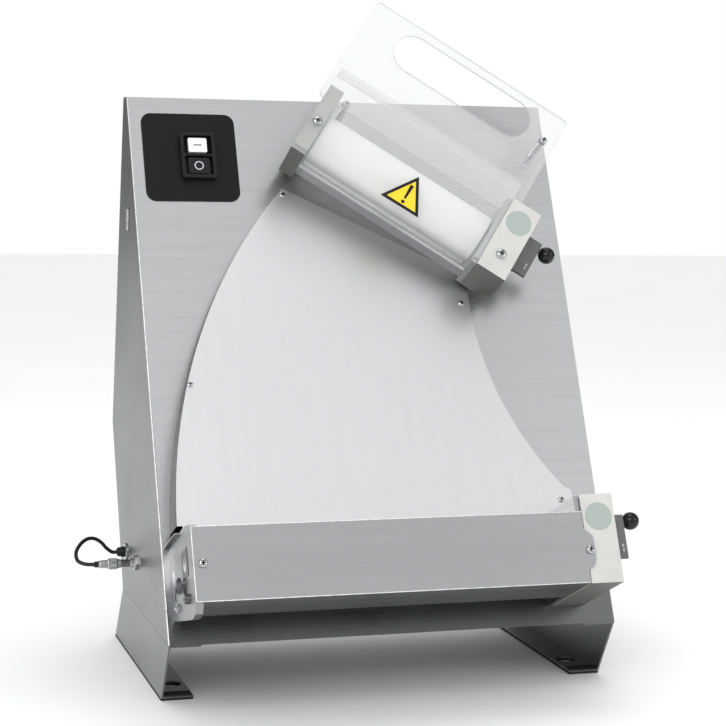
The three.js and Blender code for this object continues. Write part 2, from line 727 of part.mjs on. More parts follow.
// ---------- upper guard ----------
const guardX = [leftPlateFace(upperRoller) - upperRoller.leftPlate, -gap];
const guardY = [-casingHeight / 2, guardTop];
const guardFront = casingFront + gap;
const bracketScrew = [guardX[0] + 9.5, -5];
add(upper, 'upper_guard_cover', cut(
  barX(folded([
    [guardY[0], guardFront - guardLowerReturn], [guardY[0], guardFront],
    [guardY[1], guardFront], [guardY[1], guardFront - guardUpperReturn],
  ].reverse(), guardSheet), guardX[0], guardX[1]),
  ...[[guardX[0] - 1, leftPlateFace(upperRoller) + gap], [-gap - plateThickness - gap, 0]].map(
    (x) => block(x, [-casingHeight, casingHeight / 2], [0, guardFront - guardSheet])),
  rodZ(screwRadius + gap, guardFront - guardSheet - 2, guardFront + 1, bracketScrew[0], bracketScrew[1], 16),
), clearPlastic());
screw(upper, 'bracket_screw', bracketScrew[0], bracketScrew[1], guardFront, guardSheet - 0.5, 5.5);
screw(upper, 'casing_screw', casingWidth / 2, -23, casingFront, -gap, 6);

const handOutline = roundedOutline(handPlate.x0, handPlate.y0, handPlate.x1, handPlate.y1, 6);
const slotRadius = (handSlot.y1 - handSlot.y0) / 2 - 0.01;
const standoffs = [['left_standoff', -226, 61.5], ['right_standoff', -0.5, 168]];
add(upper, 'upper_hand_plate', cut(
  plate(handOutline, handPlate.z, handPlate.z + handPlate.t, 4),
  plate(roundedOutline(handSlot.x0, handSlot.y0, handSlot.x1, handSlot.y1, slotRadius),
    handPlate.z - 1, handPlate.z + handPlate.t + 1, 10),
  ...standoffs.map(([, x, y]) => rodZ(screwRadius + gap, 0, handPlate.z + 2 * handPlate.t, x, y, 16)),
), clearPlastic());
for (const [name, x, y] of standoffs) {
  const foot = -upperRoller.nipHeight + gap;
  const seat = handPlate.z - gap - foot;
  const over = seat + handPlate.t + 2 * gap;
  add(upper, name, turned([
    [0, 0], [5, 0], [5, seat], [screwRadius, seat], [screwRadius, over], [4.5, over], [4.5, over + 1.6],
    [3.2, over + 3], [0, over + 3.4],
  ], x, y, foot, 20), zinc());
}

add(upper, 'upper_scraper', barX(
  folded([[-48, axisOffset + 6], [-48, 18], [-32.5, 18]], sheet), ...betweenPlates(upperRoller),
), steel());

// ---------- foot-pedal connector on the left side ----------
function alongMinusX(steps, y, z, x) {
  const profile = steps.map(([radius, height]) => new THREE.Vector2(radius, height));
  return new THREE.LatheGeometry(profile, 24).rotateZ(Math.PI / 2).translate(x, y, z);
}
const sideX = -bodyWidth / 2;
add(machine, 'pedal_socket', alongMinusX([
  [0, gap], [9, gap], [9, 5], [6, 5], [6, 9], [4.6, 9], [4.6, 19], [0, 19],
], pedalY, pedalZ, sideX), zinc());
add(machine, 'pedal_plug', alongMinusX([
  [0, 19.3], [5.2, 19.3], [5.2, 23], [6.6, 24], [6.6, 33], [5.2, 34], [4.6, 44], [3.2, 50.4], [0, 50.4],
], pedalY, pedalZ, sideX), zinc());
add(machine, 'pedal_gland', alongMinusX([
  [0, gap], [10, gap], [10, 2.4], [6.5, 2.8], [6.5, 9], [4.4, 12], [0, 12],
], glandY, glandZ, sideX), blackPlastic());

const leadPoints = [
  [sideX - 12.4, glandY, glandZ], [sideX - 17, glandY, glandZ], [sideX - 24, glandY - 2, glandZ + 5],
  [sideX - 32, glandY - 8, glandZ + 14], [sideX - 42, glandY - 18, glandZ + 21],
  [sideX - 53, glandY - 31, glandZ + 23], [sideX - 63, glandY - 44, glandZ + 19],
  [sideX - 69, glandY - 56, glandZ + 12], [sideX - 68, glandY - 65, glandZ + 5],
  [sideX - 61, pedalY + 1, pedalZ + 1], [sideX - 50.7, pedalY, pedalZ],
];
const leadRoute = new THREE.CatmullRomCurve3(
  leadPoints.map(([x, y, z]) => new THREE.Vector3(x, y, z)), false, 'centripetal');
const leadSection = new THREE.Shape().absarc(0, 0, leadRadius, 0, 2 * Math.PI);
add(machine, 'pedal_lead', new THREE.ExtrudeGeometry(leadSection, {
  steps: 30, bevelEnabled: false, curveSegments: 4, extrudePath: leadRoute,
}), blackPlastic());

// the origin sits under the middle of everything but the free lead and its plug
const onCord = ['pedal_lead', 'pedal_plug'];
const extent = new THREE.Box3();
machine.updateMatrixWorld(true);
machine.traverse((piece) => {
  if (piece.isMesh && !onCord.includes(piece.name)) extent.expandByObject(piece, true);
});
const middle = extent.getCenter(new THREE.Vector3());
machine.position.set(-middle.x, -middle.y, -extent.min.z);

export default machine;
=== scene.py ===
"""Looks of a tabletop dough sheeter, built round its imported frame. Metres, +Z up, -Y towards the baker."""
import json
import math

import bmesh
import bpy
from mathutils import Euler, Matrix, Vector


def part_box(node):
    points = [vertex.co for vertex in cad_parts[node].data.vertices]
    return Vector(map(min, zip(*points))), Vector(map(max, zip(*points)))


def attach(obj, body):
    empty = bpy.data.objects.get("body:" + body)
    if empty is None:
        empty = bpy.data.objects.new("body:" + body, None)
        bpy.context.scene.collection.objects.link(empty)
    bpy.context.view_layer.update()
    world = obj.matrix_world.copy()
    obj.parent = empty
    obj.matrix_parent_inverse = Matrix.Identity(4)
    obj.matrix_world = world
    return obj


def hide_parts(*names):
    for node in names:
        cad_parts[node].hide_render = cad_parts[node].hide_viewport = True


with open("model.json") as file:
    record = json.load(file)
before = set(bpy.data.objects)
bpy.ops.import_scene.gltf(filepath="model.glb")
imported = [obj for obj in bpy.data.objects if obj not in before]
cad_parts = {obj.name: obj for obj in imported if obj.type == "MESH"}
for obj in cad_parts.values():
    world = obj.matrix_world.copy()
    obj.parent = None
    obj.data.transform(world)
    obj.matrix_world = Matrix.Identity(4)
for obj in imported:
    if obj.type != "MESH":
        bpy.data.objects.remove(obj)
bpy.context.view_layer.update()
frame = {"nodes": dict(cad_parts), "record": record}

bl_info = {
    "name": "Dough Sheeter",
    "version": (1, 0, 0),
    "blender": (4, 5, 0),
    "location": "3D View > Sidebar > Dough Sheeter",
    "description": "Builds the finished surfaces of a tabletop dough sheeter",
    "category": "Object",
}

MM = 0.001
GAP = 0.3 * MM  # between pieces that touch
JOINTS = {joint["name"]: joint for joint in frame["record"]["behaviour"]["joints"]}
NODES = frame["nodes"]


# ---------- places, from the frame ----------
def joint_place(name):
    return Vector(JOINTS[name]["pos_m"])


def joint_axis(name):
    return Vector(JOINTS[name]["axis"]).normalized()


def frame_matrix(origin, along, outward):
    """Local x along, z outward, y across."""
    across = outward.cross(along).normalized()
    turn = Matrix((along, across, outward)).transposed()
    return Matrix.Translation(origin) @ turn.to_4x4()


OUTWARD = joint_axis("lower_gap_slide")
ALONG = joint_axis("lower_rear_spin")
PANEL_LOW, PANEL_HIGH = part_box("front_panel")
PANEL_FOOT = Vector(((PANEL_LOW.x + PANEL_HIGH.x) / 2, PANEL_LOW.y, PANEL_LOW.z))
PANEL = frame_matrix(PANEL_FOOT, ALONG, OUTWARD)
SIDE_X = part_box("left_side_panel")[0].x
# stands on the left side, z away from the machine, x towards its back
SIDE = frame_matrix(Vector((SIDE_X, PANEL_FOOT.y, 0)), Vector((0, 1, 0)), Vector((-1, 0, 0)))


def pair_frame(label):
    """Origin in the nip at the casing's open side, x along the rollers, z out of the panel."""
    rear, front = joint_place(f"{label}_rear_spin"), joint_place(f"{label}_front_spin")
    return frame_matrix((rear + front) / 2, joint_axis(f"{label}_rear_spin"), OUTWARD)


LOWER = pair_frame("lower")
UPPER = pair_frame("upper")
PAIRS = (("lower", LOWER), ("upper", UPPER))
SIDES = ("left", "right")
Z_ALONG_X = Matrix.Rotation(math.pi / 2, 4, "Y")


def local_box(node, matrix):
    """Lowest and highest corner of a frame node in a local frame."""
    inverse = matrix.inverted()
    points = [inverse @ vertex.co for vertex in NODES[node].data.vertices]
    low = Vector(min(p[i] for p in points) for i in range(3))
    high = Vector(max(p[i] for p in points) for i in range(3))
    return low, high


def mm(*values):
    """Numbers given in millimetres, in metres."""
    return tuple(value * MM for value in values)


def scaled(profile):
    """A profile or outline given in millimetres."""
    return [mm(*point) for point in profile]


def on_side(y, z):
    """A place on the left side, from the panel's foot and the surface below, in millimetres."""
    return SIDE @ Matrix.Translation((y * MM, -z * MM, 0))


# ---------- shader sums ----------
class Value:
    """A number socket of a finish: sums on it add Math nodes."""

    def __init__(self, finish, socket):
        self.finish, self.socket = finish, socket

    def math(self, operation, *terms):
        return self.finish.node("ShaderNodeMath", {"operation": operation}, dict(enumerate(terms)))

    def __add__(self, other):
        return self.math("ADD", self, other)

    def __radd__(self, other):
        return self.math("ADD", other, self)

    def __sub__(self, other):
        return self.math("SUBTRACT", self, other)

    def __rsub__(self, other):
        return self.math("SUBTRACT", other, self)

    def __mul__(self, other):
        return self.math("MULTIPLY", self, other)


SOCKET_LABELS = {"ior": "IOR", "specular": "Specular IOR Level", "base_color": "Base Color"}


class Finish:
    """A material made of nodes, with one Principled shader."""

    def __init__(self, name, **constants):
        self.material = bpy.data.materials.new(name)
        self.material.use_nodes = True
        self.tree = self.material.node_tree
        self.shader = self.tree.nodes["Principled BSDF"]
        for socket, value in constants.items():
            self.feed(self.shader.inputs[self.label(socket)], value)

    @staticmethod
    def label(name):
        return SOCKET_LABELS.get(name, name.title())

    def node(self, kind, settings=None, sockets=None, output=0):
        """Adds a node: its settings first, then the values or links of its sockets."""
        made = self.tree.nodes.new(kind)
        for name, value in (settings or {}).items():
            if name == "stops":
                ramp = made.color_ramp
                while len(ramp.elements) < len(value):
                    ramp.elements.new(0.5)
                for element, (position, shade) in zip(ramp.elements, value):
                    element.position = position
                    element.color = (*shade, 1)
            else:
                setattr(made, name, value)
        for key, value in (sockets or {}).items():
            self.feed(made.inputs[key], value)
        return Value(self, made.outputs[output])

    def feed(self, socket, value):
        if isinstance(value, Value):
            self.tree.links.new(value.socket, socket)
        elif socket.type == "RGBA":
            socket.default_value = (*value, 1)
        else:
            socket.default_value = value

    def set(self, **sockets):
        """Feeds the shader's sockets, such as base_color=..."""
        for name, value in sockets.items():
            self.feed(self.shader.inputs[self.label(name)], value)
        return self.material

    def place(self):
        return self.node("ShaderNodeTexCoord", output=3)

    def towards(self, direction):
        """How far the surface faces a direction, from -1 to 1."""
        normal = self.node("ShaderNodeNewGeometry", output=1)
        return self.node(
            "ShaderNodeVectorMath", {"operation": "DOT_PRODUCT"}, {0: normal, 1: tuple(direction)}, output=1)

    def stretched(self, turn, size):
        """Object coordinates in a turned frame, each axis divided by a size in metres."""
        return self.node(
            "ShaderNodeMapping", {"vector_type": "TEXTURE"},
            {"Vector": self.place(), "Rotation": turn, "Scale": size})

    def cloud(self, vector, scale=1.0, detail=2.0, roughness=0.5):
        return self.node(
            "ShaderNodeTexNoise", {},
            {"Vector": vector, "Scale": scale, "Detail": detail, "Roughness": roughness})

    def spread(self, value, low, high, to_low=0.0, to_high=1.0):
        return self.node(
            "ShaderNodeMapRange", {"interpolation_type": "SMOOTHSTEP"},
            {"Value": value, "From Min": low, "From Max": high, "To Min": to_low, "To Max": to_high})

    def blend(self, share, first, second):
        return self.node("ShaderNodeMix", {"data_type": "RGBA"}, {0: share, 6: first, 7: second}, output=2)

    def bump(self, height, strength, distance):
        return self.node("ShaderNodeBump", {}, {"Height": height, "Strength": strength, "Distance": distance})


class Sky(Finish):
    """The world's nodes."""

    def __init__(self, world):
        self.tree = world.node_tree

    def direction(self):
        return self.node("ShaderNodeTexCoord")


def shaded(colour, factor):
    return tuple(min(1.0, channel * factor) for channel in colour)


def brushed_metal(name, colour, turn, roughness=0.27, grain=0.05, grain_length=0.09, painted_underside_shade=0.5,
                  wall=None, painted_wall_shade=0.3, foot=None):
    """Sheet metal with a straight grain along x of a turned frame; undersides, and where asked the walls and
    the sheet below a height, are darkened as painted shade.
    """
    fine = 0.0006
    finish = Finish(name)
    lines = finish.cloud(finish.stretched(turn, (grain_length, fine, fine)), 1.0, 4.0, 0.6)
    broad = finish.cloud(finish.stretched(turn, (grain_length * 4, fine * 14, fine * 14)), 1.0, 2.0)
    smudge = finish.spread(finish.cloud(finish.place(), 7.0, 3.0), 0.35, 0.75)
    share = finish.spread(lines * 0.65 + broad * 0.35, 0.3, 0.7)
    tone = finish.blend(share, shaded(colour, 1 - grain), shaded(colour, 1 + grain))
    tone = finish.blend(smudge * 0.5, tone, shaded(colour, 0.95))
    # painted shade: faces turned down get a darker copy of the colour
    painted_underside_mask = finish.spread(finish.towards((0, 0, -1)), 0.25, 0.75)
    tone = finish.blend(painted_underside_mask, tone, shaded(colour, painted_underside_shade))
    if wall is not None:
        # painted shade: faces turned away from the given direction, such as the chute's side walls, get a
        # darker copy of the colour
        flat = finish.spread(finish.towards(wall), 0.55, 0.95)
        tone = finish.blend(flat, shaded(colour, painted_wall_shade), tone)
    if foot is not None:
        # painted shade: below the given height, under the lower cover, the sheet gets a much darker copy of
        # the colour
        height = finish.node("ShaderNodeSeparateXYZ", {}, {0: finish.place()}, 2)
        tone = finish.blend(finish.spread(height, *foot), shaded(colour, 0.3), tone)
    return finish.set(
        base_color=tone,
        roughness=roughness + (lines - 0.5) * 0.1 + smudge * 0.05,
        metallic=1.0,
        normal=finish.bump(lines, 0.05, 0.0001))


def cast_metal(name, colour, roughness, metallic, painted_underside_shade=0.55):
    """Bead-blasted or tumbled metal: an even fine tooth, slight clouding, and painted shade on undersides."""
    pit = 0.0009
    finish = Finish(name)
    tooth = finish.cloud(finish.place(), 1 / pit, 3.0, 0.6)
    cloud = finish.cloud(finish.place(), 35.0, 3.0)
    tone = finish.blend(finish.spread(cloud, 0.3, 0.7), shaded(colour, 0.95), shaded(colour, 1.04))
    # painted shade: faces turned down get a darker copy of the colour
    painted_underside_mask = finish.spread(finish.towards((0, 0, -1)), 0.25, 0.75)
    return finish.set(
        base_color=finish.blend(painted_underside_mask, tone, shaded(colour, painted_underside_shade)),
        roughness=roughness + (tooth - 0.5) * 0.14,
        metallic=metallic,
        normal=finish.bump(tooth, 0.12, 0.0001))


def turned_metal(name, colour, roughness):
    """Bright plated or machined pieces with fine handling marks."""
    finish = Finish(name)
    marks = finish.cloud(finish.place(), 900.0, 4.0, 0.7)
    wear = finish.spread(finish.cloud(finish.place(), 160.0, 3.0), 0.45, 0.75)
    return finish.set(
        base_color=finish.blend(wear, colour, shaded(colour, 0.72)),
        roughness=roughness + (marks - 0.5) * 0.12 + wear * 0.12,
        metallic=1.0,
        normal=finish.bump(marks, 0.05, 0.00005))


def moulded(name, colour, roughness, texture=0.0005, lift=0.06, lighter=1.25, specular=0.5):
    """Moulded plastic or rubber: a spark-eroded skin and slight rub marks."""
    finish = Finish(name, specular=specular)
    skin = finish.cloud(finish.place(), 1 / texture, 2.0)
    rub = finish.spread(finish.cloud(finish.place(), 60.0, 4.0, 0.6), 0.5, 0.8)
    return finish.set(
        base_color=finish.blend(rub * 0.35, colour, shaded(colour, lighter)),
        roughness=roughness + (skin - 0.5) * 0.12 + rub * 0.08,
        normal=finish.bump(skin, lift, 0.0001))


def clear_sheet(name, colour, cover, roughness=0.06):
    """Clear plastic sheet with faint wiping marks."""
    finish = Finish(name, ior=1.49)
    wipe = finish.cloud(finish.stretched((0.4, 0.2, 0.5), (0.12, 0.004, 0.004)), 1.0, 3.0)
    mist = finish.spread(finish.cloud(finish.place(), 9.0, 2.0), 0.3, 0.8)
    return finish.set(
        base_color=finish.blend(mist, colour, shaded(colour, 0.97)),
        roughness=roughness + wipe * 0.06,
        alpha=cover + mist * 0.04 + (wipe - 0.5) * 0.03)


# ---------- colours and finishes ----------
PANEL_TURN = tuple(PANEL.to_euler())
UPPER_TURN = tuple(UPPER.to_euler())
SIDE_TURN = tuple((PANEL.to_3x3() @ Matrix.Rotation(math.pi / 2, 3, "Z")).to_euler())
FINISH = {}


def make_finishes(looks):
    """Fills FINISH with every finish of the machine, under its name."""
    steel, chute, alloy = tuple(looks.steel), tuple(looks.chute), tuple(looks.casing)
    white, black, lever = tuple(looks.roller), tuple(looks.black), tuple(looks.lever)
    FINISH.update({
        # the panel's steel is darkened below a height as painted shade under the lower cover
        "panel_steel": brushed_metal("panel_steel", steel, PANEL_TURN, foot=(0.12, 0.15)),
        # painted shade: the cover, plate, side and leg steels are darker copies of the body's one steel, for
        # faces that take less light
        "cover_steel_painted_shade": brushed_metal("cover_steel_painted_shade", shaded(steel, 0.76), PANEL_TURN, grain_length=0.2,
                                     painted_underside_shade=0.55),
        "plate_steel_painted_shade": brushed_metal("plate_steel_painted_shade", shaded(steel, 0.6), SIDE_TURN, roughness=0.3),
        "side_steel_painted_shade": brushed_metal("side_steel_painted_shade", shaded(steel, 0.5), SIDE_TURN, roughness=0.36),
        "upper_steel": brushed_metal("upper_steel", steel, UPPER_TURN),
        "leg_steel_painted_shade": brushed_metal("leg_steel_painted_shade", shaded(steel, 0.5), SIDE_TURN, roughness=0.34, painted_underside_shade=0.6),
        # painted shade: the chute's side walls, turned away from the outward direction, get a near-black copy
        # of its colour
        "chute_steel": brushed_metal("chute_steel", chute, SIDE_TURN, roughness=0.36, grain=0.02,
                                     wall=OUTWARD, painted_wall_shade=0.04),
        # a bright copy of the steel for thin wires and the vent's tab: painted highlights on folds and on the
        # tab
        "highlight_steel": turned_metal("highlight_steel", (0.93, 0.93, 0.94), 0.3),
        "casing_alloy": cast_metal("casing_alloy", alloy, 0.48, 0.35, painted_underside_shade=0.2),
        "bracket_alloy": cast_metal("bracket_alloy", shaded(alloy, 0.6), 0.48, 0.4, painted_underside_shade=0.35),
        "dark_alloy": cast_metal("dark_alloy", lever, 0.42, 0.6),
        "gear_steel": turned_metal("gear_steel", (0.2, 0.2, 0.21), 0.3),
        "plated": turned_metal("plated", (0.5, 0.51, 0.52), 0.16),
        "roller_plastic": moulded("roller_plastic", white, 0.42, 0.0012, 0.05, lighter=1.04),
        "white_button": moulded("white_button", shaded(white, 0.96), 0.35, lighter=1.03),
        "black_plastic": moulded("black_plastic", black, 0.35, specular=0.25),
        "plate_plastic": moulded("plate_plastic", black, 0.38, 0.0008, 0.03, specular=0.15),
        "knob_plastic": moulded("knob_plastic", shaded(black, 0.4), 0.12, 0.004, 0.01, specular=0.4),
        "rubber": moulded("rubber", shaded(black, 1.2), 0.75, 0.0007, 0.2),
        "cable_skin": moulded("cable_skin", shaded(black, 0.8), 0.45, 0.0006, 0.08),
        # near-black: painted shade in the screws' crosses, at the bottom of the boss's bore and on the start
        # button's base; the start button's bar and the catches' pins also use it
        "recess": moulded("recess", shaded(black, 0.4), 0.6, 0.0006, 0.08, specular=0.1),
        "mark_white": moulded("mark_white", (0.62, 0.62, 0.72), 0.4, lighter=1.05),
        "disc_grey": moulded("disc_grey", tuple(looks.disc), 0.5, 0.0008, 0.03, lighter=1.04),
        "label_yellow": moulded("label_yellow", tuple(looks.label), 0.38, 0.001, 0.02, lighter=1.06),
        "clear_face": clear_sheet("clear_face", (0.74, 0.75, 0.75), 0.19),
        "clear_edge": clear_sheet("clear_edge", (0.62, 0.64, 0.64), 0.5, 0.12),
    })


NODE_FINISH = {
    "panel_steel": ("front_panel",),
    "plate_steel_painted_shade": ("lower_left_plate",),
    "cover_steel_painted_shade": ("lower_cover", "lower_right_plate", "lower_scraper"),
    "side_steel_painted_shade": ("left_side_panel", "right_side_panel", "back_cover"),
    "upper_steel": ("upper_right_plate", "upper_scraper"),
    "leg_steel_painted_shade": ("left_leg", "right_leg"),
    "chute_steel": ("chute_plate",),
    "casing_alloy": ("lower_gear_casing", "upper_gear_casing", "lower_gearmotor", "upper_gearmotor"),
    "bracket_alloy": ("upper_left_bracket",),
    "dark_alloy": ("lower_lever", "upper_lever", "lower_left_slide", "lower_right_slide",
                   "upper_left_slide", "upper_right_slide"),
    "gear_steel": ("lower_rear_gear", "lower_front_gear", "upper_rear_gear", "upper_front_gear",
                   "lower_motor_pinion", "upper_motor_pinion"),
    "plated": ("lower_rear_shaft", "lower_front_shaft", "upper_rear_shaft", "upper_front_shaft"),
    "black_plastic": ("power_inlet",),
    "plate_plastic": ("switch_plate",),
    "rubber": ("left_foot_strip", "right_foot_strip"),
}


# ---------- mesh helpers ----------
SHARP = math.radians(32)  # edges with a larger turn stay sharp and get a bevel


def new_piece(name, build, finish_names, body, matrix=None, replaces=()):
    """Runs build(bm), then turns the mesh into a piece of the machine that rides on a body."""
    mesh = bpy.data.meshes.new(name)
    bm = bmesh.new()
    build(bm)
    bmesh.ops.recalc_face_normals(bm, faces=bm.faces)
    for face in bm.faces:
        face.smooth = True
    for edge in bm.edges:
        edge.smooth = edge.calc_face_angle(math.pi) < SHARP
    bm.to_mesh(mesh)
    bm.free()
    if matrix is not None:
        mesh.transform(matrix)
    for finish_name in finish_names:
        mesh.materials.append(FINISH[finish_name])
    piece = bpy.data.objects.new(name, mesh)
    bpy.context.scene.collection.objects.link(piece)
    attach(piece, body)
    if replaces:
        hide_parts(*replaces)
    return piece


def soften(piece, width, segments=2):
    """Rounds a piece's edges with a bevel."""
    bevel = piece.modifiers.new("edge_round", "BEVEL")
    bevel.limit_method = "ANGLE"
    bevel.angle_limit = SHARP
    bevel.width = width
    bevel.segments = segments
    bevel.use_clamp_overlap = True
    bevel.harden_normals = True


def lathe(bm, profile, sides=48, at=None, finish=0, ridges=0.0):
    """Turns [(radius, height)] about local z; a radius of 0 closes the end. Ridges make a knurl."""
    at = at or Matrix.Identity(4)
    rings = []
    for radius, height in profile:
        if radius < 1e-7:
            rings.append([bm.verts.new(at @ Vector((0, 0, height)))])
            continue
        ring = []
        for i in range(sides):
            turn, reach = 2 * math.pi * i / sides, radius - ridges * (i % 2)
            ring.append(bm.verts.new(at @ Vector((reach * math.cos(turn), reach * math.sin(turn), height))))
        rings.append(ring)
    for low, high in zip(rings, rings[1:]):
        for i in range(sides):
            j = (i + 1) % sides
            corners = [low[i % len(low)], low[j % len(low)], high[j % len(high)], high[i % len(high)]]
            unique = [v for k, v in enumerate(corners) if v not in corners[:k]]
            if len(unique) > 2:
                bm.faces.new(unique).material_index = finish


def arc(cx, cy, radius, start, end, steps):
    """Points on an arc between two angles in degrees."""
    turns = [math.radians(start + (end - start) * i / steps) for i in range(steps + 1)]
    return [(cx + radius * math.cos(a), cy + radius * math.sin(a)) for a in turns]


def rounded(x0, y0, x1, y1, r, steps=8):
    """The outline of a rectangle with round corners."""
    return (arc(x1 - r, y0 + r, r, -90, 0, steps) + arc(x1 - r, y1 - r, r, 0, 90, steps)
            + arc(x0 + r, y1 - r, r, 90, 180, steps) + arc(x0 + r, y0 + r, r, 180, 270, steps))


def circle(x, y, r, steps=24):
    """The outline of a circle, or of a nut where the steps are six."""
    return arc(x, y, r, 0, 360 * (steps - 1) / steps, steps - 1)


def slab(bm, outline, z0, z1, holes=(), at=None, finish=0, side_finish=None):
    """A flat piece of an outline in x and y, with holes, between two heights."""
    before = len(bm.faces)
    edges = []
    for loop in (outline, *holes):
        verts = [bm.verts.new((x, y, z0)) for x, y in loop]
        edges += [bm.edges.new((a, b)) for a, b in zip(verts, verts[1:] + verts[:1])]
    filled = bmesh.ops.triangle_fill(bm, use_beauty=True, use_dissolve=False, edges=edges)
    faces = [g for g in filled["geom"] if isinstance(g, bmesh.types.BMFace)]
    raised = bmesh.ops.extrude_face_region(bm, geom=faces)
    moved = [g for g in raised["geom"] if isinstance(g, bmesh.types.BMVert)]
    bmesh.ops.translate(bm, verts=moved, vec=(0, 0, z1 - z0))
    bm.faces.ensure_lookup_table()
    made = bm.faces[before:]
    bm.normal_update()
    for face in made:
        upright = abs(face.normal.z) < 0.5
        face.material_index = side_finish if upright and side_finish is not None else finish
    if at is not None:
        verts = list({v for face in made for v in face.verts})
        bmesh.ops.transform(bm, matrix=at, verts=verts)


def box(bm, low, high, finish=0, at=None):
    """A box between two corners."""
    outline = [(low[0], low[1]), (high[0], low[1]), (high[0], high[1]), (low[0], high[1])]
    slab(bm, outline, low[2], high[2], finish=finish, at=at)


def wire(bm, points, radius, sides=10):
    """A round wire along points."""
    points = [Vector(p) for p in points]
    side = (points[1] - points[0]).orthogonal().normalized()
    rings = []
    for i, point in enumerate(points):
        ahead = (points[min(i + 1, len(points) - 1)] - points[max(i - 1, 0)]).normalized()
        side = (side - ahead * side.dot(ahead)).normalized()
        other = ahead.cross(side)
        spokes = [side * x + other * y for x, y in circle(0, 0, radius, sides)]
        rings.append([bm.verts.new(point + spoke) for spoke in spokes])
    for low, high in zip(rings, rings[1:]):
        for i in range(sides):
            j = (i + 1) % sides
            bm.faces.new((low[i], low[j], high[j], high[i]))
    for ring in (rings[0], rings[-1]):
        bm.faces.new(ring)


def through(points, per_span):
    """Points along a centripetal Catmull-Rom curve that starts and ends at the first and last point."""
    points = [Vector(p) for p in points]
    padded = [points[0] * 2 - points[1], *points, points[-1] * 2 - points[-2]]
    route = []
    for p0, p1, p2, p3 in zip(padded, padded[1:], padded[2:], padded[3:]):
        t1 = (p1 - p0).length ** 0.5
        t2 = t1 + (p2 - p1).length ** 0.5
        t3 = t2 + (p3 - p2).length ** 0.5
        for i in range(per_span):
            t = t1 + (t2 - t1) * i / per_span
            a1 = p0 * ((t1 - t) / t1) + p1 * (t / t1)
            a2 = p1 * ((t2 - t) / (t2 - t1)) + p2 * ((t - t1) / (t2 - t1))
            a3 = p2 * ((t3 - t) / (t3 - t2)) + p3 * ((t - t2) / (t3 - t2))
            b1 = a1 * ((t2 - t) / t2) + a2 * (t / t2)
            b2 = a2 * ((t3 - t) / (t3 - t1)) + a3 * ((t - t1) / (t3 - t1))
            route.append(b1 * ((t2 - t) / (t2 - t1)) + b2 * ((t - t1) / (t2 - t1)))
    return [*route, points[-1]]


def bent_sheet(bm, path, thickness, spans):
    """Sheet bent along a path of (y, z), with its cut edges in the second finish.

    The spans are (x0, x1, first, last): how wide the sheet is over which steps of the path."""
    normals = []
    for i in range(len(path)):
        y0, z0 = path[max(i - 1, 0)]
        y1, z1 = path[min(i + 1, len(path) - 1)]
        length = math.hypot(y1 - y0, z1 - z0)
        normals.append(((z1 - z0) / length, -(y1 - y0) / length))
    found = {}

    def corner(x, i, inner):
        if (x, i, inner) not in found:
            y, z = path[i]
            ny, nz = normals[i]
            shift = thickness if inner else 0
            found[x, i, inner] = bm.verts.new((x, y + ny * shift, z + nz * shift))
        return found[x, i, inner]

    rims = {}
    for x0, x1, first, last in spans:
        for i in range(first, last):
            for inner in (False, True):
                bm.faces.new([corner(x, k, inner) for x, k in ((x0, i), (x1, i), (x1, i + 1), (x0, i + 1))])
            a, b, c, d = (x0, i), (x1, i), (x1, i + 1), (x0, i + 1)
            for rim in ((a, b), (b, c), (d, c), (a, d)):
                rims[rim] = rims.get(rim, 0) + 1
    for (a, b), uses in rims.items():
        if uses == 1:
            face = bm.faces.new([corner(*a, False), corner(*b, False), corner(*b, True), corner(*a, True)])
            face.material_index = 1


def screw_head(bm, radius, height, at=None):
    """A domed head with a rounded rim and a near-black cross in the second finish: painted shade where the
    cross recess is.
    """
    rim = 0.35  # of the height, where the dome starts
    dome = [(radius * math.cos(a), height * (rim + (1 - rim) * math.sin(a)))
            for a in (math.pi / 2 * i / 6 for i in range(7))]
    lathe(bm, [(0, 0), (radius, 0), *dome[:-1], (0, height)], 32, at)
    reach, half = radius * 0.5, radius * 0.13
    for x, y in ((reach, half), (half, reach)):
        box(bm, (-x, -y, height * 0.7), (x, y, height + 0.02 * MM), 1, at)


# ---------- settings a user would change ----------
def colour(name, text, value):
    return bpy.props.FloatVectorProperty(
        name=name, description=text, default=value, subtype="COLOR", size=3, min=0, max=1)


def distance(name, text, value):
    return bpy.props.FloatProperty(name=name, description=text, default=value, unit="LENGTH", precision=5)


class SheeterLooks(bpy.types.PropertyGroup):
    """Colours of the machine."""
    steel: colour("Steel", "Brushed stainless of the body", (0.54, 0.545, 0.55))
    chute: colour("Chute", "Bright plate between the rollers", (0.76, 0.765, 0.77))
    casing: colour("Casing", "Gear casings and left bracket", (0.62, 0.62, 0.6))
    lever: colour("Lever", "Thickness levers and slides", (0.15, 0.15, 0.15))
    roller: colour("Rollers", "White food plastic", (0.86, 0.86, 0.85))
    black: colour("Black", "Switch and small black pieces", (0.009, 0.009, 0.01))
    disc: colour("Disc", "Blank discs on the casings", (0.36, 0.41, 0.39))
    label: colour("Label", "Triangle on the guard", (0.85, 0.6, 0.02))


class SheeterSizes(bpy.types.PropertyGroup):
    """Sizes of the pieces that the frame leaves open."""
    edge: distance("Edge", "Rounding of sheet edges", 0.0004)
    disc: distance("Disc", "Radius of the blank discs", 0.0155)
    triangle: distance("Triangle", "Border of the warning triangle", 0.0035)
    chute_screw: distance("Chute screw", "Radius of a chute screw's head", 0.0035)


# ---------- operators ----------
class BuilderOperator:
    """What every building operator shares."""
    bl_options = {"REGISTER"}

    def execute(self, context):
        self.make(context.scene.sheeter_looks, context.scene.sheeter_sizes)
        return {"FINISHED"}


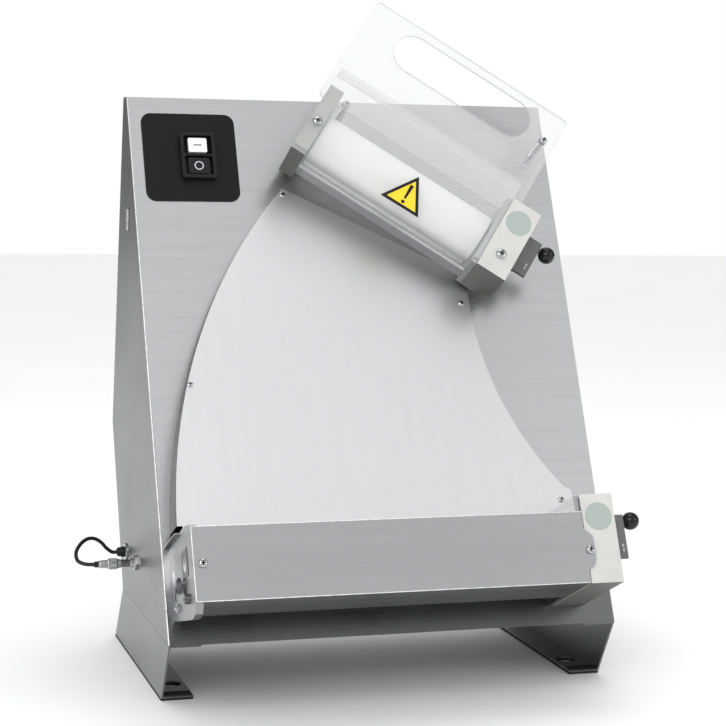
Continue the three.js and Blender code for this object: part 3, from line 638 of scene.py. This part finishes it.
class SHEETER_OT_stage(BuilderOperator, bpy.types.Operator):
    """Camera, floor and soft lights"""
    bl_idname = "sheeter.stage"
    bl_label = "Stage"
    AMBIENT = 0.98
    LENS, SENSOR = 95.94, 36  # in millimetres
    # measured from the foot of the front panel; the height from the surface below
    CAMERA_PLACE = (-0.65844, -2.00089, 0.60047)
    CAMERA_TURN = (16.9638, 6.15664, 1.0596)  # yaw, pitch down and roll, in degrees
    LOOK_AT = Vector((0, 0, 0.35))
    # place, diameter and power
    LIGHTS = {
        "key": ((-1.5, -2.6, 2.3), 1.6, 24),
        "fill": ((2.4, -1.8, 1.2), 1.8, 8),
        "top": ((0.2, 0.3, 2.9), 2.2, 16),
    }

    def make(self, looks, sizes):
        bpy.context.scene.view_settings.view_transform = "Standard"
        self.camera()
        self.floor()
        for name, (place, size, power) in self.LIGHTS.items():
            self.light(name, place, size, power)
        self.world()

    def camera(self):
        data = bpy.data.cameras.new("camera")
        camera = bpy.data.objects.new("camera", data)
        bpy.context.scene.collection.objects.link(camera)
        right, forward, height = self.CAMERA_PLACE
        camera.location = (PANEL_FOOT.x + right, PANEL_FOOT.y + forward, height)
        yaw, pitch, roll = (math.radians(a) for a in self.CAMERA_TURN)
        turn = Euler((math.pi / 2 - pitch, 0, -yaw)).to_matrix() @ Matrix.Rotation(roll, 3, "Z")
        camera.rotation_euler = turn.to_euler()
        data.lens = self.LENS
        data.sensor_width = self.SENSOR
        data.clip_end = 50
        bpy.context.scene.camera = camera

    def floor(self):
        mesh = bpy.data.meshes.new("floor")
        bm = bmesh.new()
        bmesh.ops.create_grid(bm, x_segments=2, y_segments=2, size=9)
        bm.to_mesh(mesh)
        bm.free()
        floor = bpy.data.objects.new("floor", mesh)
        bpy.context.scene.collection.objects.link(floor)
        finish = Finish("floor_paint")
        cloud = finish.cloud(finish.place(), 3.0, 3.0)
        finish.set(
            base_color=finish.blend(cloud, (0.93, 0.93, 0.93), (0.96, 0.96, 0.96)),
            roughness=0.75 + cloud * 0.1)
        mesh.materials.append(finish.material)

    def light(self, name, place, size, power):
        data = bpy.data.lights.new(name, "AREA")
        data.shape, data.size, data.energy = "DISK", size, power
        lamp = bpy.data.objects.new(name, data)
        lamp.location = place
        aim = self.LOOK_AT - lamp.location
        lamp.rotation_euler = aim.to_track_quat("-Z", "Y").to_euler()
        bpy.context.scene.collection.objects.link(lamp)

    def world(self):
        """White to look at; in reflections, bright towards the baker and above, duller behind and below."""
        world = bpy.data.worlds.new("studio")
        bpy.context.scene.world = world
        world.use_nodes = True
        sky = Sky(world)
        depth, height = (sky.node("ShaderNodeSeparateXYZ", {}, {0: sky.direction()}, i) for i in (1, 2))
        shine = sky.spread(depth, -0.9, 0.4, 1.0, 0.3) * sky.spread(height, -0.3, 0.55, 0.4, 1.0)
        glossy = sky.node("ShaderNodeLightPath", output=3)
        looked_at = sky.node("ShaderNodeLightPath", output=0)
        strength = self.AMBIENT + (shine - self.AMBIENT) * glossy
        strength = strength + (1 - strength) * looked_at
        sky.feed(world.node_tree.nodes["Background"].inputs["Strength"], strength)
        sky.feed(world.node_tree.nodes["Background"].inputs["Color"], (1, 1, 1))


class SHEETER_OT_pedal_lead(BuilderOperator, bpy.types.Operator):
    """Lead, plug, socket and gland of the foot pedal, on the left side"""
    bl_idname = "sheeter.pedal_lead"
    bl_label = "Pedal Lead"

    # outwards from the left side, back from the panel's foot and up from the surface, in millimetres
    ROUTE = (
        (12.4, 262, 122), (17, 262, 122), (24, 260, 127), (32, 254, 136), (42, 244, 143), (53, 231, 145),
        (63, 218, 141), (69, 206, 134), (68, 197, 127), (61, 193, 124), (50.7, 192, 123))
    DIAMETER = 4.4 * MM
    SOCKET_AT = (192, 123)
    GLAND_AT = (262, 122)

    def make(self, looks, sizes):
        make_finishes(looks)
        socket, gland = on_side(*self.SOCKET_AT), on_side(*self.GLAND_AT)
        plug = new_piece("pedal_plug_body", self.plug, ["plated", "gear_steel", "rubber"], "frame",
                         socket, ["pedal_plug"])
        points = [Vector((SIDE_X - out * MM, PANEL_FOOT.y + y * MM, z * MM)) for out, y, z in self.ROUTE]
        route = through(points, 12)
        length = sum((b - a).length for a, b in zip(route, route[1:]))
        lead = new_piece("pedal_lead_cord", lambda bm: wire(bm, route, self.DIAMETER / 2, 16), ["cable_skin"],
                         "frame", None, ["pedal_lead"])
        new_piece("pedal_socket_body", self.socket, ["plated", "gear_steel"], "frame",
                  socket, ["pedal_socket"])
        new_piece("pedal_gland_body", self.gland, ["plated", "black_plastic"], "frame",
                  gland, ["pedal_gland"])

    def plug(self, bm):
        """A knurled coupling ring, a grip with ribs and a lead clamp."""
        coupling = [(0, 19.3), (4.9, 19.3), (5.2, 19.6), (5.2, 22.7), (5.6, 23.2)]
        lathe(bm, scaled([*coupling, (6.3, 24)]), 48)
        lathe(bm, scaled([(6.1, 23.9), (6.6, 24.4), (6.6, 32.6), (6.1, 33.2)]), 60, ridges=0.35 * MM)
        grip, ribs = [(6.2, 33.1), (5.4, 33.6), (5.2, 34.4)], 4
        for i in range(ribs):
            rib = ((5.15, 0), (4.6, 0.4), (4.6, 1.1), (5.05, 1.5))
            grip += [(radius - i * 0.12, 35.2 + i * 2.1 + z) for radius, z in rib]
        lathe(bm, scaled([*grip, (4.5, 44.2), (3.6, 45.2)]), 40)
        lathe(bm, scaled([(3.6, 45.1), (3.5, 48.6), (2.9, 50.2), (0, 50.4)]), 32, finish=2)

    def socket(self, bm):
        """A hexagonal nut on a threaded body."""
        slab(bm, circle(0, 0, 9 * MM, 6), GAP, 3.4 * MM)
        lathe(bm, scaled([(8.2, 3.3), (6.8, 5), (6.2, 5)]), 36)
        thread = [(6, 4.9)]
        for i in range(4):
            z = 5.2 + i * 0.95
            thread += [(5.7, z), (6, z + 0.45)]
        lathe(bm, scaled([*thread, (5.7, 9), (4.6, 9.1)]), 36)
        collar = [(4.6, 9)]
        for i in range(9):
            z = 9.5 + i
            collar += [(4.25, z), (4.6, z + 0.5)]
        lathe(bm, scaled([*collar, (4.2, 18.8), (0, 19)]), 36, finish=1)

    def gland(self, bm):
        """A bright washer and a black nut with a cone."""
        lathe(bm, [(0, GAP), (10 * MM, GAP), *scaled([(10, 1.9), (9.4, 2.4), (6.4, 2.5)])], 48)
        slab(bm, circle(0, 0, 6.5 * MM, 6), 2.4 * MM, 6.4 * MM, finish=1)
        ring = [(5.9, 6.3), (5.7, 7), (5.7, 9), (4.6, 11.4), (3.4, 12), (0, 12)]
        lathe(bm, scaled(ring), 36, finish=1)


class SHEETER_OT_frame_pieces(BuilderOperator, bpy.types.Operator):
    """Finishes and rounded edges of the frame's own pieces"""
    bl_idname = "sheeter.frame_pieces"
    bl_label = "Frame Finishes"

    def make(self, looks, sizes):
        for finish_name, nodes in NODE_FINISH.items():
            for node in nodes:
                piece = NODES[node]
                piece.data.materials.clear()
                piece.data.materials.append(FINISH[finish_name])
                soften(piece, sizes.edge)


class SHEETER_OT_rollers(BuilderOperator, bpy.types.Operator):
    """Four white rollers"""
    bl_idname = "sheeter.rollers"
    bl_label = "Rollers"

    def make(self, looks, sizes):
        for label, matrix in PAIRS:
            for place in ("rear", "front"):
                node = f"{label}_{place}_roller"
                low, high = local_box(node, matrix)
                middle, radius = (low + high) / 2, (high.y - low.y) / 2
                bore, hub, round_off, recess = mm(8.3, 14.3, 1.2, 2)
                rim = [(radius - round_off * (1 - math.sin(a)), low.x + round_off * (1 - math.cos(a)))
                       for a in (math.pi / 2 * i / 5 for i in range(6))]
                end = [(bore, low.x + recess), (hub, low.x + recess), (hub, low.x), *rim]
                other_end = [(r, low.x + high.x - h) for r, h in reversed(end)]
                profile = [*end, *other_end, end[0]]
                at = matrix @ Matrix.Translation((0, middle.y, middle.z)) @ Z_ALONG_X
                new_piece(f"{node}_skin", lambda bm: lathe(bm, profile, 128), ["roller_plastic"],
                          f"{label}_{place}", at, [node])


class SHEETER_OT_levers(BuilderOperator, bpy.types.Operator):
    """Knobs and small fittings of the two levers"""
    bl_idname = "sheeter.levers"
    bl_label = "Levers"
    CATCH_AT = (53.4, -7, 50)  # from the nip, in millimetres

    def make(self, looks, sizes):
        for label, matrix in PAIRS:
            low, high = local_box(f"{label}_knob", matrix)
            middle, radius = (low + high) / 2, (high.y - low.y) / 2
            at = matrix @ Matrix.Translation((high.x - radius, middle.y, middle.z)) @ Z_ALONG_X
            new_piece(f"{label}_knob_ball", lambda bm: self.knob(bm, radius, low.x - high.x + radius),
                      ["knob_plastic"], f"{label}_lever", at, [f"{label}_knob"])
            at = matrix @ Matrix.Translation(mm(*self.CATCH_AT))
            new_piece(f"{label}_lever_catch", self.catch, ["plated", "recess"], f"{label}_lever", at)

    def knob(self, bm, radius, foot):
        """A ball on a short straight neck."""
        start, top = -58, 90  # in degrees up from the ball's widest place
        ball = arc(0, 0, radius, start, top, 22)
        neck = radius * math.cos(math.radians(start))
        lathe(bm, [(0, foot), (neck * 0.9, foot), (neck, foot + 0.4 * MM), *ball[:-1], (0, radius)], 64)

    def catch(self, bm):
        """A small bright plate with a dark pin."""
        slab(bm, rounded(*mm(-1.1, -4.5, 1.1, 4.5, 1)), GAP / 2, 0.9 * MM)
        lathe(bm, scaled([(0, 0.9), (0.7, 0.9), (0.5, 1.3), (0, 1.3)]), 16, finish=1)


class SHEETER_OT_guard(BuilderOperator, bpy.types.Operator):
    """Clear guard cover and hand plate, with the warning triangle"""
    bl_idname = "sheeter.guard"
    bl_label = "Clear Guard"
    # from the upper nip, in millimetres
    HAND_SLOT = (-215, 146, -24, 198)
    TRIANGLE = ((-136.3, -42.2), (-85.6, -41.6), (-108.8, 4.8))
    INNER_CIRCLE = 0.2887  # radius of the circle in a triangle of equal sides, over its side

    def make(self, looks, sizes):
        self.triangle_border = sizes.triangle
        self.cover_box = local_box("upper_guard_cover", UPPER)
        self.plate_box = local_box("upper_hand_plate", UPPER)
        cover = new_piece("guard_cover_sheet", self.cover, ["clear_face", "clear_edge"], "frame",
                          UPPER, ["upper_guard_cover"])
        plate = new_piece("hand_plate_sheet", self.plate, ["clear_face", "clear_edge"], "frame",
                          UPPER, ["upper_hand_plate"])
        soften(cover, 0.4 * MM)
        soften(plate, 0.7 * MM)
        front = Matrix.Translation((0, 0, self.cover_box[1].z + 0.1 * MM))
        new_piece("warning_triangle", self.triangle, ["label_yellow", "black_plastic"], "frame",
                  UPPER @ front)

    def cover(self, bm):
        """A flat face with a bent return along its lower and its upper side."""
        low, high = self.cover_box
        sheet, bend, lower_return, halfway, upper_return = mm(4, 6.5, 34, 14, 22)
        steps = 6
        path = [(low.y, high.z - lower_return), (low.y, high.z - halfway)]
        path += arc(low.y + bend, high.z - bend, bend, 180, 90, steps)
        path += arc(high.y - bend, high.z - bend, bend, 90, 0, steps)
        path += [(high.y, high.z - upper_return)]
        # the lower return stops short of the plates that carry the cover; beside it the sheet is flat
        left, right = low.x + 18.3 * MM, high.x - 6.3 * MM
        flat, last = 2 + steps, len(path) - 1
        spans = [(low.x, left, flat, last), (left, right, 0, last), (right, high.x, flat, last)]
        bent_sheet(bm, path, sheet, spans)

    def plate(self, bm):
        """A flat sheet with a slot for the hand and a hole at each standoff."""
        low, high = self.plate_box
        slot = rounded(*mm(*self.HAND_SLOT), 25.9 * MM, 16)
        holes = []
        for side in SIDES:
            post_low, post_high = local_box(f"{side}_standoff", UPPER)
            middle = (post_low + post_high) / 2
            holes.append(circle(middle.x, middle.y, 2.8 * MM))
        slab(bm, rounded(low.x, low.y, high.x, high.y, 6 * MM), low.z, high.z, [slot, *holes], side_finish=1)

    def triangle(self, bm):
        """A yellow face, a black border, and a bar over a dot."""
        outer = [Vector(mm(*corner)) for corner in self.TRIANGLE]
        middle = sum(outer, Vector((0, 0))) / 3
        shrink = 1 - self.triangle_border / ((outer[0] - outer[1]).length * self.INNER_CIRCLE)
        inner = [middle + (corner - middle) * shrink for corner in outer]
        face, border, mark_foot, mark_face = mm(0.25, 0.3, 0.2, 0.32)
        slab(bm, inner, 0, face)
        slab(bm, outer, 0, border, [inner], finish=1)
        at = Matrix.Translation((middle.x, middle.y, 0))
        half, top, foot, dot_drop = mm(2.3, 16.5, -3.5, 4.6)
        bar = [(-half * 0.55, foot), (half * 0.55, foot), (half, top), (-half, top)]
        for outline in (bar, circle(0, foot - dot_drop, half)):
            slab(bm, outline, mark_foot, mark_face, at=at, finish=1)


class SHEETER_OT_screws(BuilderOperator, bpy.types.Operator):
    """Cross-head screws and standoffs"""
    bl_idname = "sheeter.screws"
    bl_label = "Screws"
    HEADS = (("cover_screw_left", LOWER), ("cover_screw_right", LOWER), ("bracket_screw", UPPER),
             ("casing_screw", UPPER))
    FRAME_HEAD = 4 * MM  # height of a head in the frame
    # on the panel, in millimetres: x and length up it, then the length and the height of the chute's foot
    CHUTE_SCREWS = ((-84, 528), (-219, 287), (117, 385), (198, 136))
    CHUTE_FOOT, CHUTE_HEIGHT = 110, 44
    CHUTE_SLOPE = -0.09535  # height over length up the panel

    def make(self, looks, sizes):
        for name, matrix in self.HEADS:
            low, high = local_box(name, matrix)
            middle, radius = (low + high) / 2, (high.x - low.x) / 2
            at = matrix @ Matrix.Translation((middle.x, middle.y, high.z - self.FRAME_HEAD + GAP))
            new_piece(f"{name}_head", lambda bm: screw_head(bm, radius, 3.2 * MM),
                      ["plated", "recess"], "frame", at, [name])
        slope = Matrix.Rotation(math.atan(self.CHUTE_SLOPE), 4, "X")
        for i, (x, along) in enumerate(self.CHUTE_SCREWS):
            height = self.CHUTE_HEIGHT + (along - self.CHUTE_FOOT) * self.CHUTE_SLOPE
            at = PANEL @ Matrix.Translation((x * MM, along * MM, height * MM + GAP)) @ slope
            new_piece(f"chute_screw_{i + 1}", lambda bm: screw_head(bm, sizes.chute_screw, 1.9 * MM),
                      ["plated", "recess"], "frame", at)
        for side in SIDES:
            low, high = local_box(f"{side}_standoff", UPPER)
            middle = (low + high) / 2
            at = UPPER @ Matrix.Translation((middle.x, middle.y, 0))
            new_piece(f"{side}_standoff_post", self.standoff, ["plated", "recess"], "frame", at,
                      [f"{side}_standoff"])

    def standoff(self, bm):
        """A post, a neck through the hand plate and a screw's head."""
        neck_top = 28.8
        profile = [(0, -14.7), (4.6, -14.7), (5, -14.3), (5, 24.2), (4.6, 24.7), (2.5, 24.7), (2.5, neck_top)]
        lathe(bm, scaled(profile), 40)
        screw_head(bm, 4.5 * MM, 2.9 * MM, Matrix.Translation((0, 0, neck_top * MM)))


class SHEETER_OT_switch(BuilderOperator, bpy.types.Operator):
    """Switch bezel with a white and a black push button, unlettered"""
    bl_idname = "sheeter.switch"
    bl_label = "Switch"

    def make(self, looks, sizes):
        self.body_box = local_box("switch_body", PANEL)
        bezel = new_piece("switch_bezel", self.bezel, ["black_plastic"], "frame", PANEL,
                          ["switch_body"])
        soften(bezel, 0.8 * MM, 3)
        for name, build, finish_names, slot in (
                ("start_button", self.start, ["white_button", "recess"], "white_plastic"),
                ("stop_button", self.stop, ["black_plastic", "mark_white"], "black_plastic")):
            self.cap_box = local_box(name, PANEL)
            cap = new_piece(f"{name}_cap", build, finish_names, name, PANEL, [name])
            soften(cap, 0.5 * MM, 3)

    def bezel(self, bm):
        """A rounded frame with two wells; behind it a plain box through the panel."""
        low, high = self.body_box
        spare, inset, back, box_top = mm(0.5, 4, 1.8, -5.9)
        holes = []
        for name in ("start_button", "stop_button"):
            b0, b1 = local_box(name, PANEL)
            holes.append(rounded(b0.x - spare, b0.y - spare, b1.x + spare, b1.y + spare, 2.4 * MM, 6))
        slab(bm, rounded(low.x, low.y, high.x, high.y, 3 * MM), back, high.z, holes)
        left, foot, right, top = low.x + inset, low.y + inset, high.x - inset, high.y - inset
        slab(bm, rounded(left, foot, right, top, 1 * MM, 3), box_top - 0.1 * MM, back + 0.4 * MM, holes)
        box(bm, (left, foot, low.z), (right, top, box_top))

    def button(self, bm, width, height, drop, base_finish):
        """A raised cap on a wider base; returns its middle and its face's height."""
        low, high = self.cap_box
        base_top = high.z - 7 * MM
        slab(bm, rounded(low.x, low.y, high.x, high.y, 2 * MM, 6), low.z, base_top, finish=base_finish)
        x, y = (low.x + high.x) / 2, (low.y + high.y) / 2
        face = high.z - drop
        cap = rounded(x - width / 2, y - height / 2, x + width / 2, y + height / 2, 1.6 * MM, 6)
        slab(bm, cap, base_top - 0.2 * MM, face)
        return x, y, face

    def start(self, bm):
        """A white cap with a short bar, on a near-black base that is painted shade in the well around the
        cap.
        """
        x, y, face = self.button(bm, *mm(22, 18, 2.2), base_finish=1)
        reach, half, round_off = mm(5, 0.6, 0.5)
        bar = rounded(x - reach, y - half, x + reach, y + half, round_off)
        slab(bm, bar, face - 0.1 * MM, face + 0.15 * MM, finish=1)

    def stop(self, bm):
        """A black cap with a white ring."""
        x, y, face = self.button(bm, *mm(25, 20, 1), base_finish=0)
        ring, hole = (circle(x, y, radius, 48) for radius in mm(5.4, 4.3))
        slab(bm, ring, face - 0.1 * MM, face + 0.3 * MM, [hole], finish=1)


class SHEETER_OT_left_details(BuilderOperator, bpy.types.Operator):
    """Wire spring, boss and bolt of the lower left plate, and the discs, pads, a bright tab and bright wires
    on folds, both painted highlights
    """
    bl_idname = "sheeter.left_details"
    bl_label = "Small Details"
    FLANGE = 5 * MM  # how far the lower left plate's folds stand out from its face
    # from the lower nip, in millimetres: y and z of the boss and the bolt, then the spring's start
    BOSS_AT, BOLT_AT = (-38, 38), (-37, -12)
    SPRING_AT = (-439.8, -18.5, 13)
    DISC_UP = 24.5  # from the nip up the casing
    VENT_AT = (257.4, 519)  # on the left side
    VENT_TILT = math.radians(-28)

    def make(self, looks, sizes):
        self.plate_pieces()
        self.discs(sizes.disc)
        self.pads_and_tab()
        self.paint_fold_highlights()

    def plate_pieces(self):
        new_piece("scraper_spring_wire", self.spring, ["gear_steel"], "frame", LOWER,
                  ["scraper_spring"])
        face = local_box("lower_left_plate", LOWER)[0].x + self.FLANGE
        outward = Matrix.Rotation(-math.pi / 2, 4, "Y")
        for name, build, metal, place in (
                ("spring_boss", self.boss, "gear_steel", self.BOSS_AT),
                ("plate_bolt", self.bolt, "plated", self.BOLT_AT)):
            at = LOWER @ Matrix.Translation((face, *mm(*place))) @ outward
            new_piece(name, build, [metal, "recess"], "frame", at)

    def discs(self, radius):
        rim, lift, top = mm(0.3, 0.05, 0.5)
        profile = [(0, 0), (radius, 0), (radius, rim), (radius - rim, top), (0, top)]
        for label, matrix in PAIRS:
            low, high = local_box(f"{label}_gear_casing", matrix)
            seat = matrix @ Matrix.Translation(((low.x + high.x) / 2, self.DISC_UP * MM, high.z + lift))
            new_piece(f"{label}_casing_disc", lambda bm: lathe(bm, profile, 72), ["disc_grey"], "frame",
                      seat)

    def pads_and_tab(self):
        inset, start, end, pad_foot, pad_top = mm(1.6, 0.4, 15, 4.6, 6.4)
        for side in SIDES:
            low, high = local_box(f"{side}_leg", Matrix.Identity(4))
            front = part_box(f"{side}_foot_strip")[0].y
            pad = (low.x + inset, front + start, pad_foot), (high.x - inset, front + end, pad_top)
            new_piece(f"{side}_foot_pad", lambda bm: box(bm, *pad), ["rubber"], "frame")
        # the vent's tab is in the bright steel: a painted highlight
        tab = mm(0, -12.5, 0.1), mm(4.2, 12.5, 0.9)
        vent = on_side(*self.VENT_AT) @ Matrix.Rotation(self.VENT_TILT, 4, "Y")
        new_piece("vent_tab", lambda bm: box(bm, *tab), ["highlight_steel"], "frame", vent)

    def paint_fold_highlights(self):
        # painted highlights: bright wires laid on the folds of the front panel and the lower cover
        new_piece("cover_fold_highlights", self.paint_cover_fold_highlights, ["highlight_steel"], "frame", LOWER)
        new_piece("left_fold_highlight", self.paint_left_fold_highlight, ["highlight_steel"], "frame", PANEL)

    def paint_left_fold_highlight(self, bm):
        """A bright wire up the left edge of the front panel: a painted highlight on its fold."""
        inward, depth, radius = mm(0.5, -0.45, 0.95)
        x = local_box("front_panel", PANEL)[0].x + inward
        wire(bm, [(x, along, depth) for along in mm(1, 200, 400, 652)], radius)

    def paint_cover_fold_highlights(self, bm):
        """Bright wires along three edges of the lower cover: painted highlights on its folds."""
        low, high = local_box("lower_cover", LOWER)
        inset, right, middle, radius = mm(0.4, -2, -10, 0.55)
        left, face = low.x + inset, high.z - inset
        ends = low.y + inset, high.y - inset
        wire(bm, [(left, y, face) for y in (ends[0], middle, ends[1])], radius)
        for y in ends:
            wire(bm, [(x, y, face) for x in (left, left / 2, right)], radius)

    def spring(self, bm):
        """Two and a half turns of wire with two straight ends."""
        turns, steps, length, radius = 2.5, 30, 5, 8
        x, y, z = self.SPRING_AT
        points = [(x, y - 20, z + 28), (x, y - 10, z + 12)]
        for i in range(steps + 1):
            angle = turns * 2 * math.pi * i / steps
            across, out = radius * math.sin(angle), radius * math.cos(angle)
            points.append((x - length * i / steps, y - across, z + out))
        points.append((x - length, y - 14, z - 12))
        wire(bm, through(scaled(points), 5), 0.9 * MM, 12)

    def boss(self, bm):
        """A turned boss with a shallow bore whose bottom is painted near-black as shade."""
        lathe(bm, scaled([(0, 0.05), (5.4, 0.05), (5.4, 4.6), (5, 5), (2.2, 5), (2.2, 4.2), (0, 4.2)]), 36)
        lathe(bm, scaled([(0, 4.2), (2.2, 4.2), (2.2, 4.3), (0, 4.3)]), 24, finish=1)

    def bolt(self, bm):
        """A hexagonal nut with the bolt's end in it."""
        slab(bm, circle(0, 0, 5 * MM, 6), 0.05 * MM, 3.6 * MM)
        lathe(bm, scaled([(0, 3.5), (2.6, 3.5), (2.6, 5.2), (2.2, 5.6), (0, 5.6)]), 24)


class SHEETER_PT_sidebar(bpy.types.Panel):
    """Lists the building steps"""
    bl_label = "Dough Sheeter"
    bl_idname = "SHEETER_PT_sidebar"
    bl_space_type = "VIEW_3D"
    bl_region_type = "UI"
    bl_category = "Dough Sheeter"

    def draw(self, context):
        for group in (context.scene.sheeter_looks, context.scene.sheeter_sizes):
            for name in group.__annotations__:
                self.layout.prop(group, name)
        for operator in STEPS:
            self.layout.operator(operator.bl_idname)


STEPS = (
    SHEETER_OT_stage, SHEETER_OT_pedal_lead, SHEETER_OT_frame_pieces, SHEETER_OT_rollers, SHEETER_OT_levers,
    SHEETER_OT_guard, SHEETER_OT_screws, SHEETER_OT_switch, SHEETER_OT_left_details)
CLASSES = (SheeterLooks, SheeterSizes, *STEPS, SHEETER_PT_sidebar)


def register():
    for cls in CLASSES:
        bpy.utils.register_class(cls)
    bpy.types.Scene.sheeter_looks = bpy.props.PointerProperty(type=SheeterLooks)
    bpy.types.Scene.sheeter_sizes = bpy.props.PointerProperty(type=SheeterSizes)


def unregister():
    del bpy.types.Scene.sheeter_sizes
    del bpy.types.Scene.sheeter_looks
    for cls in reversed(CLASSES):
        bpy.utils.unregister_class(cls)


def main():
    register()
    for step in STEPS:
        group, name = step.bl_idname.split(".")
        getattr(getattr(bpy.ops, group), name)()


if __name__ == "__main__":
    main()
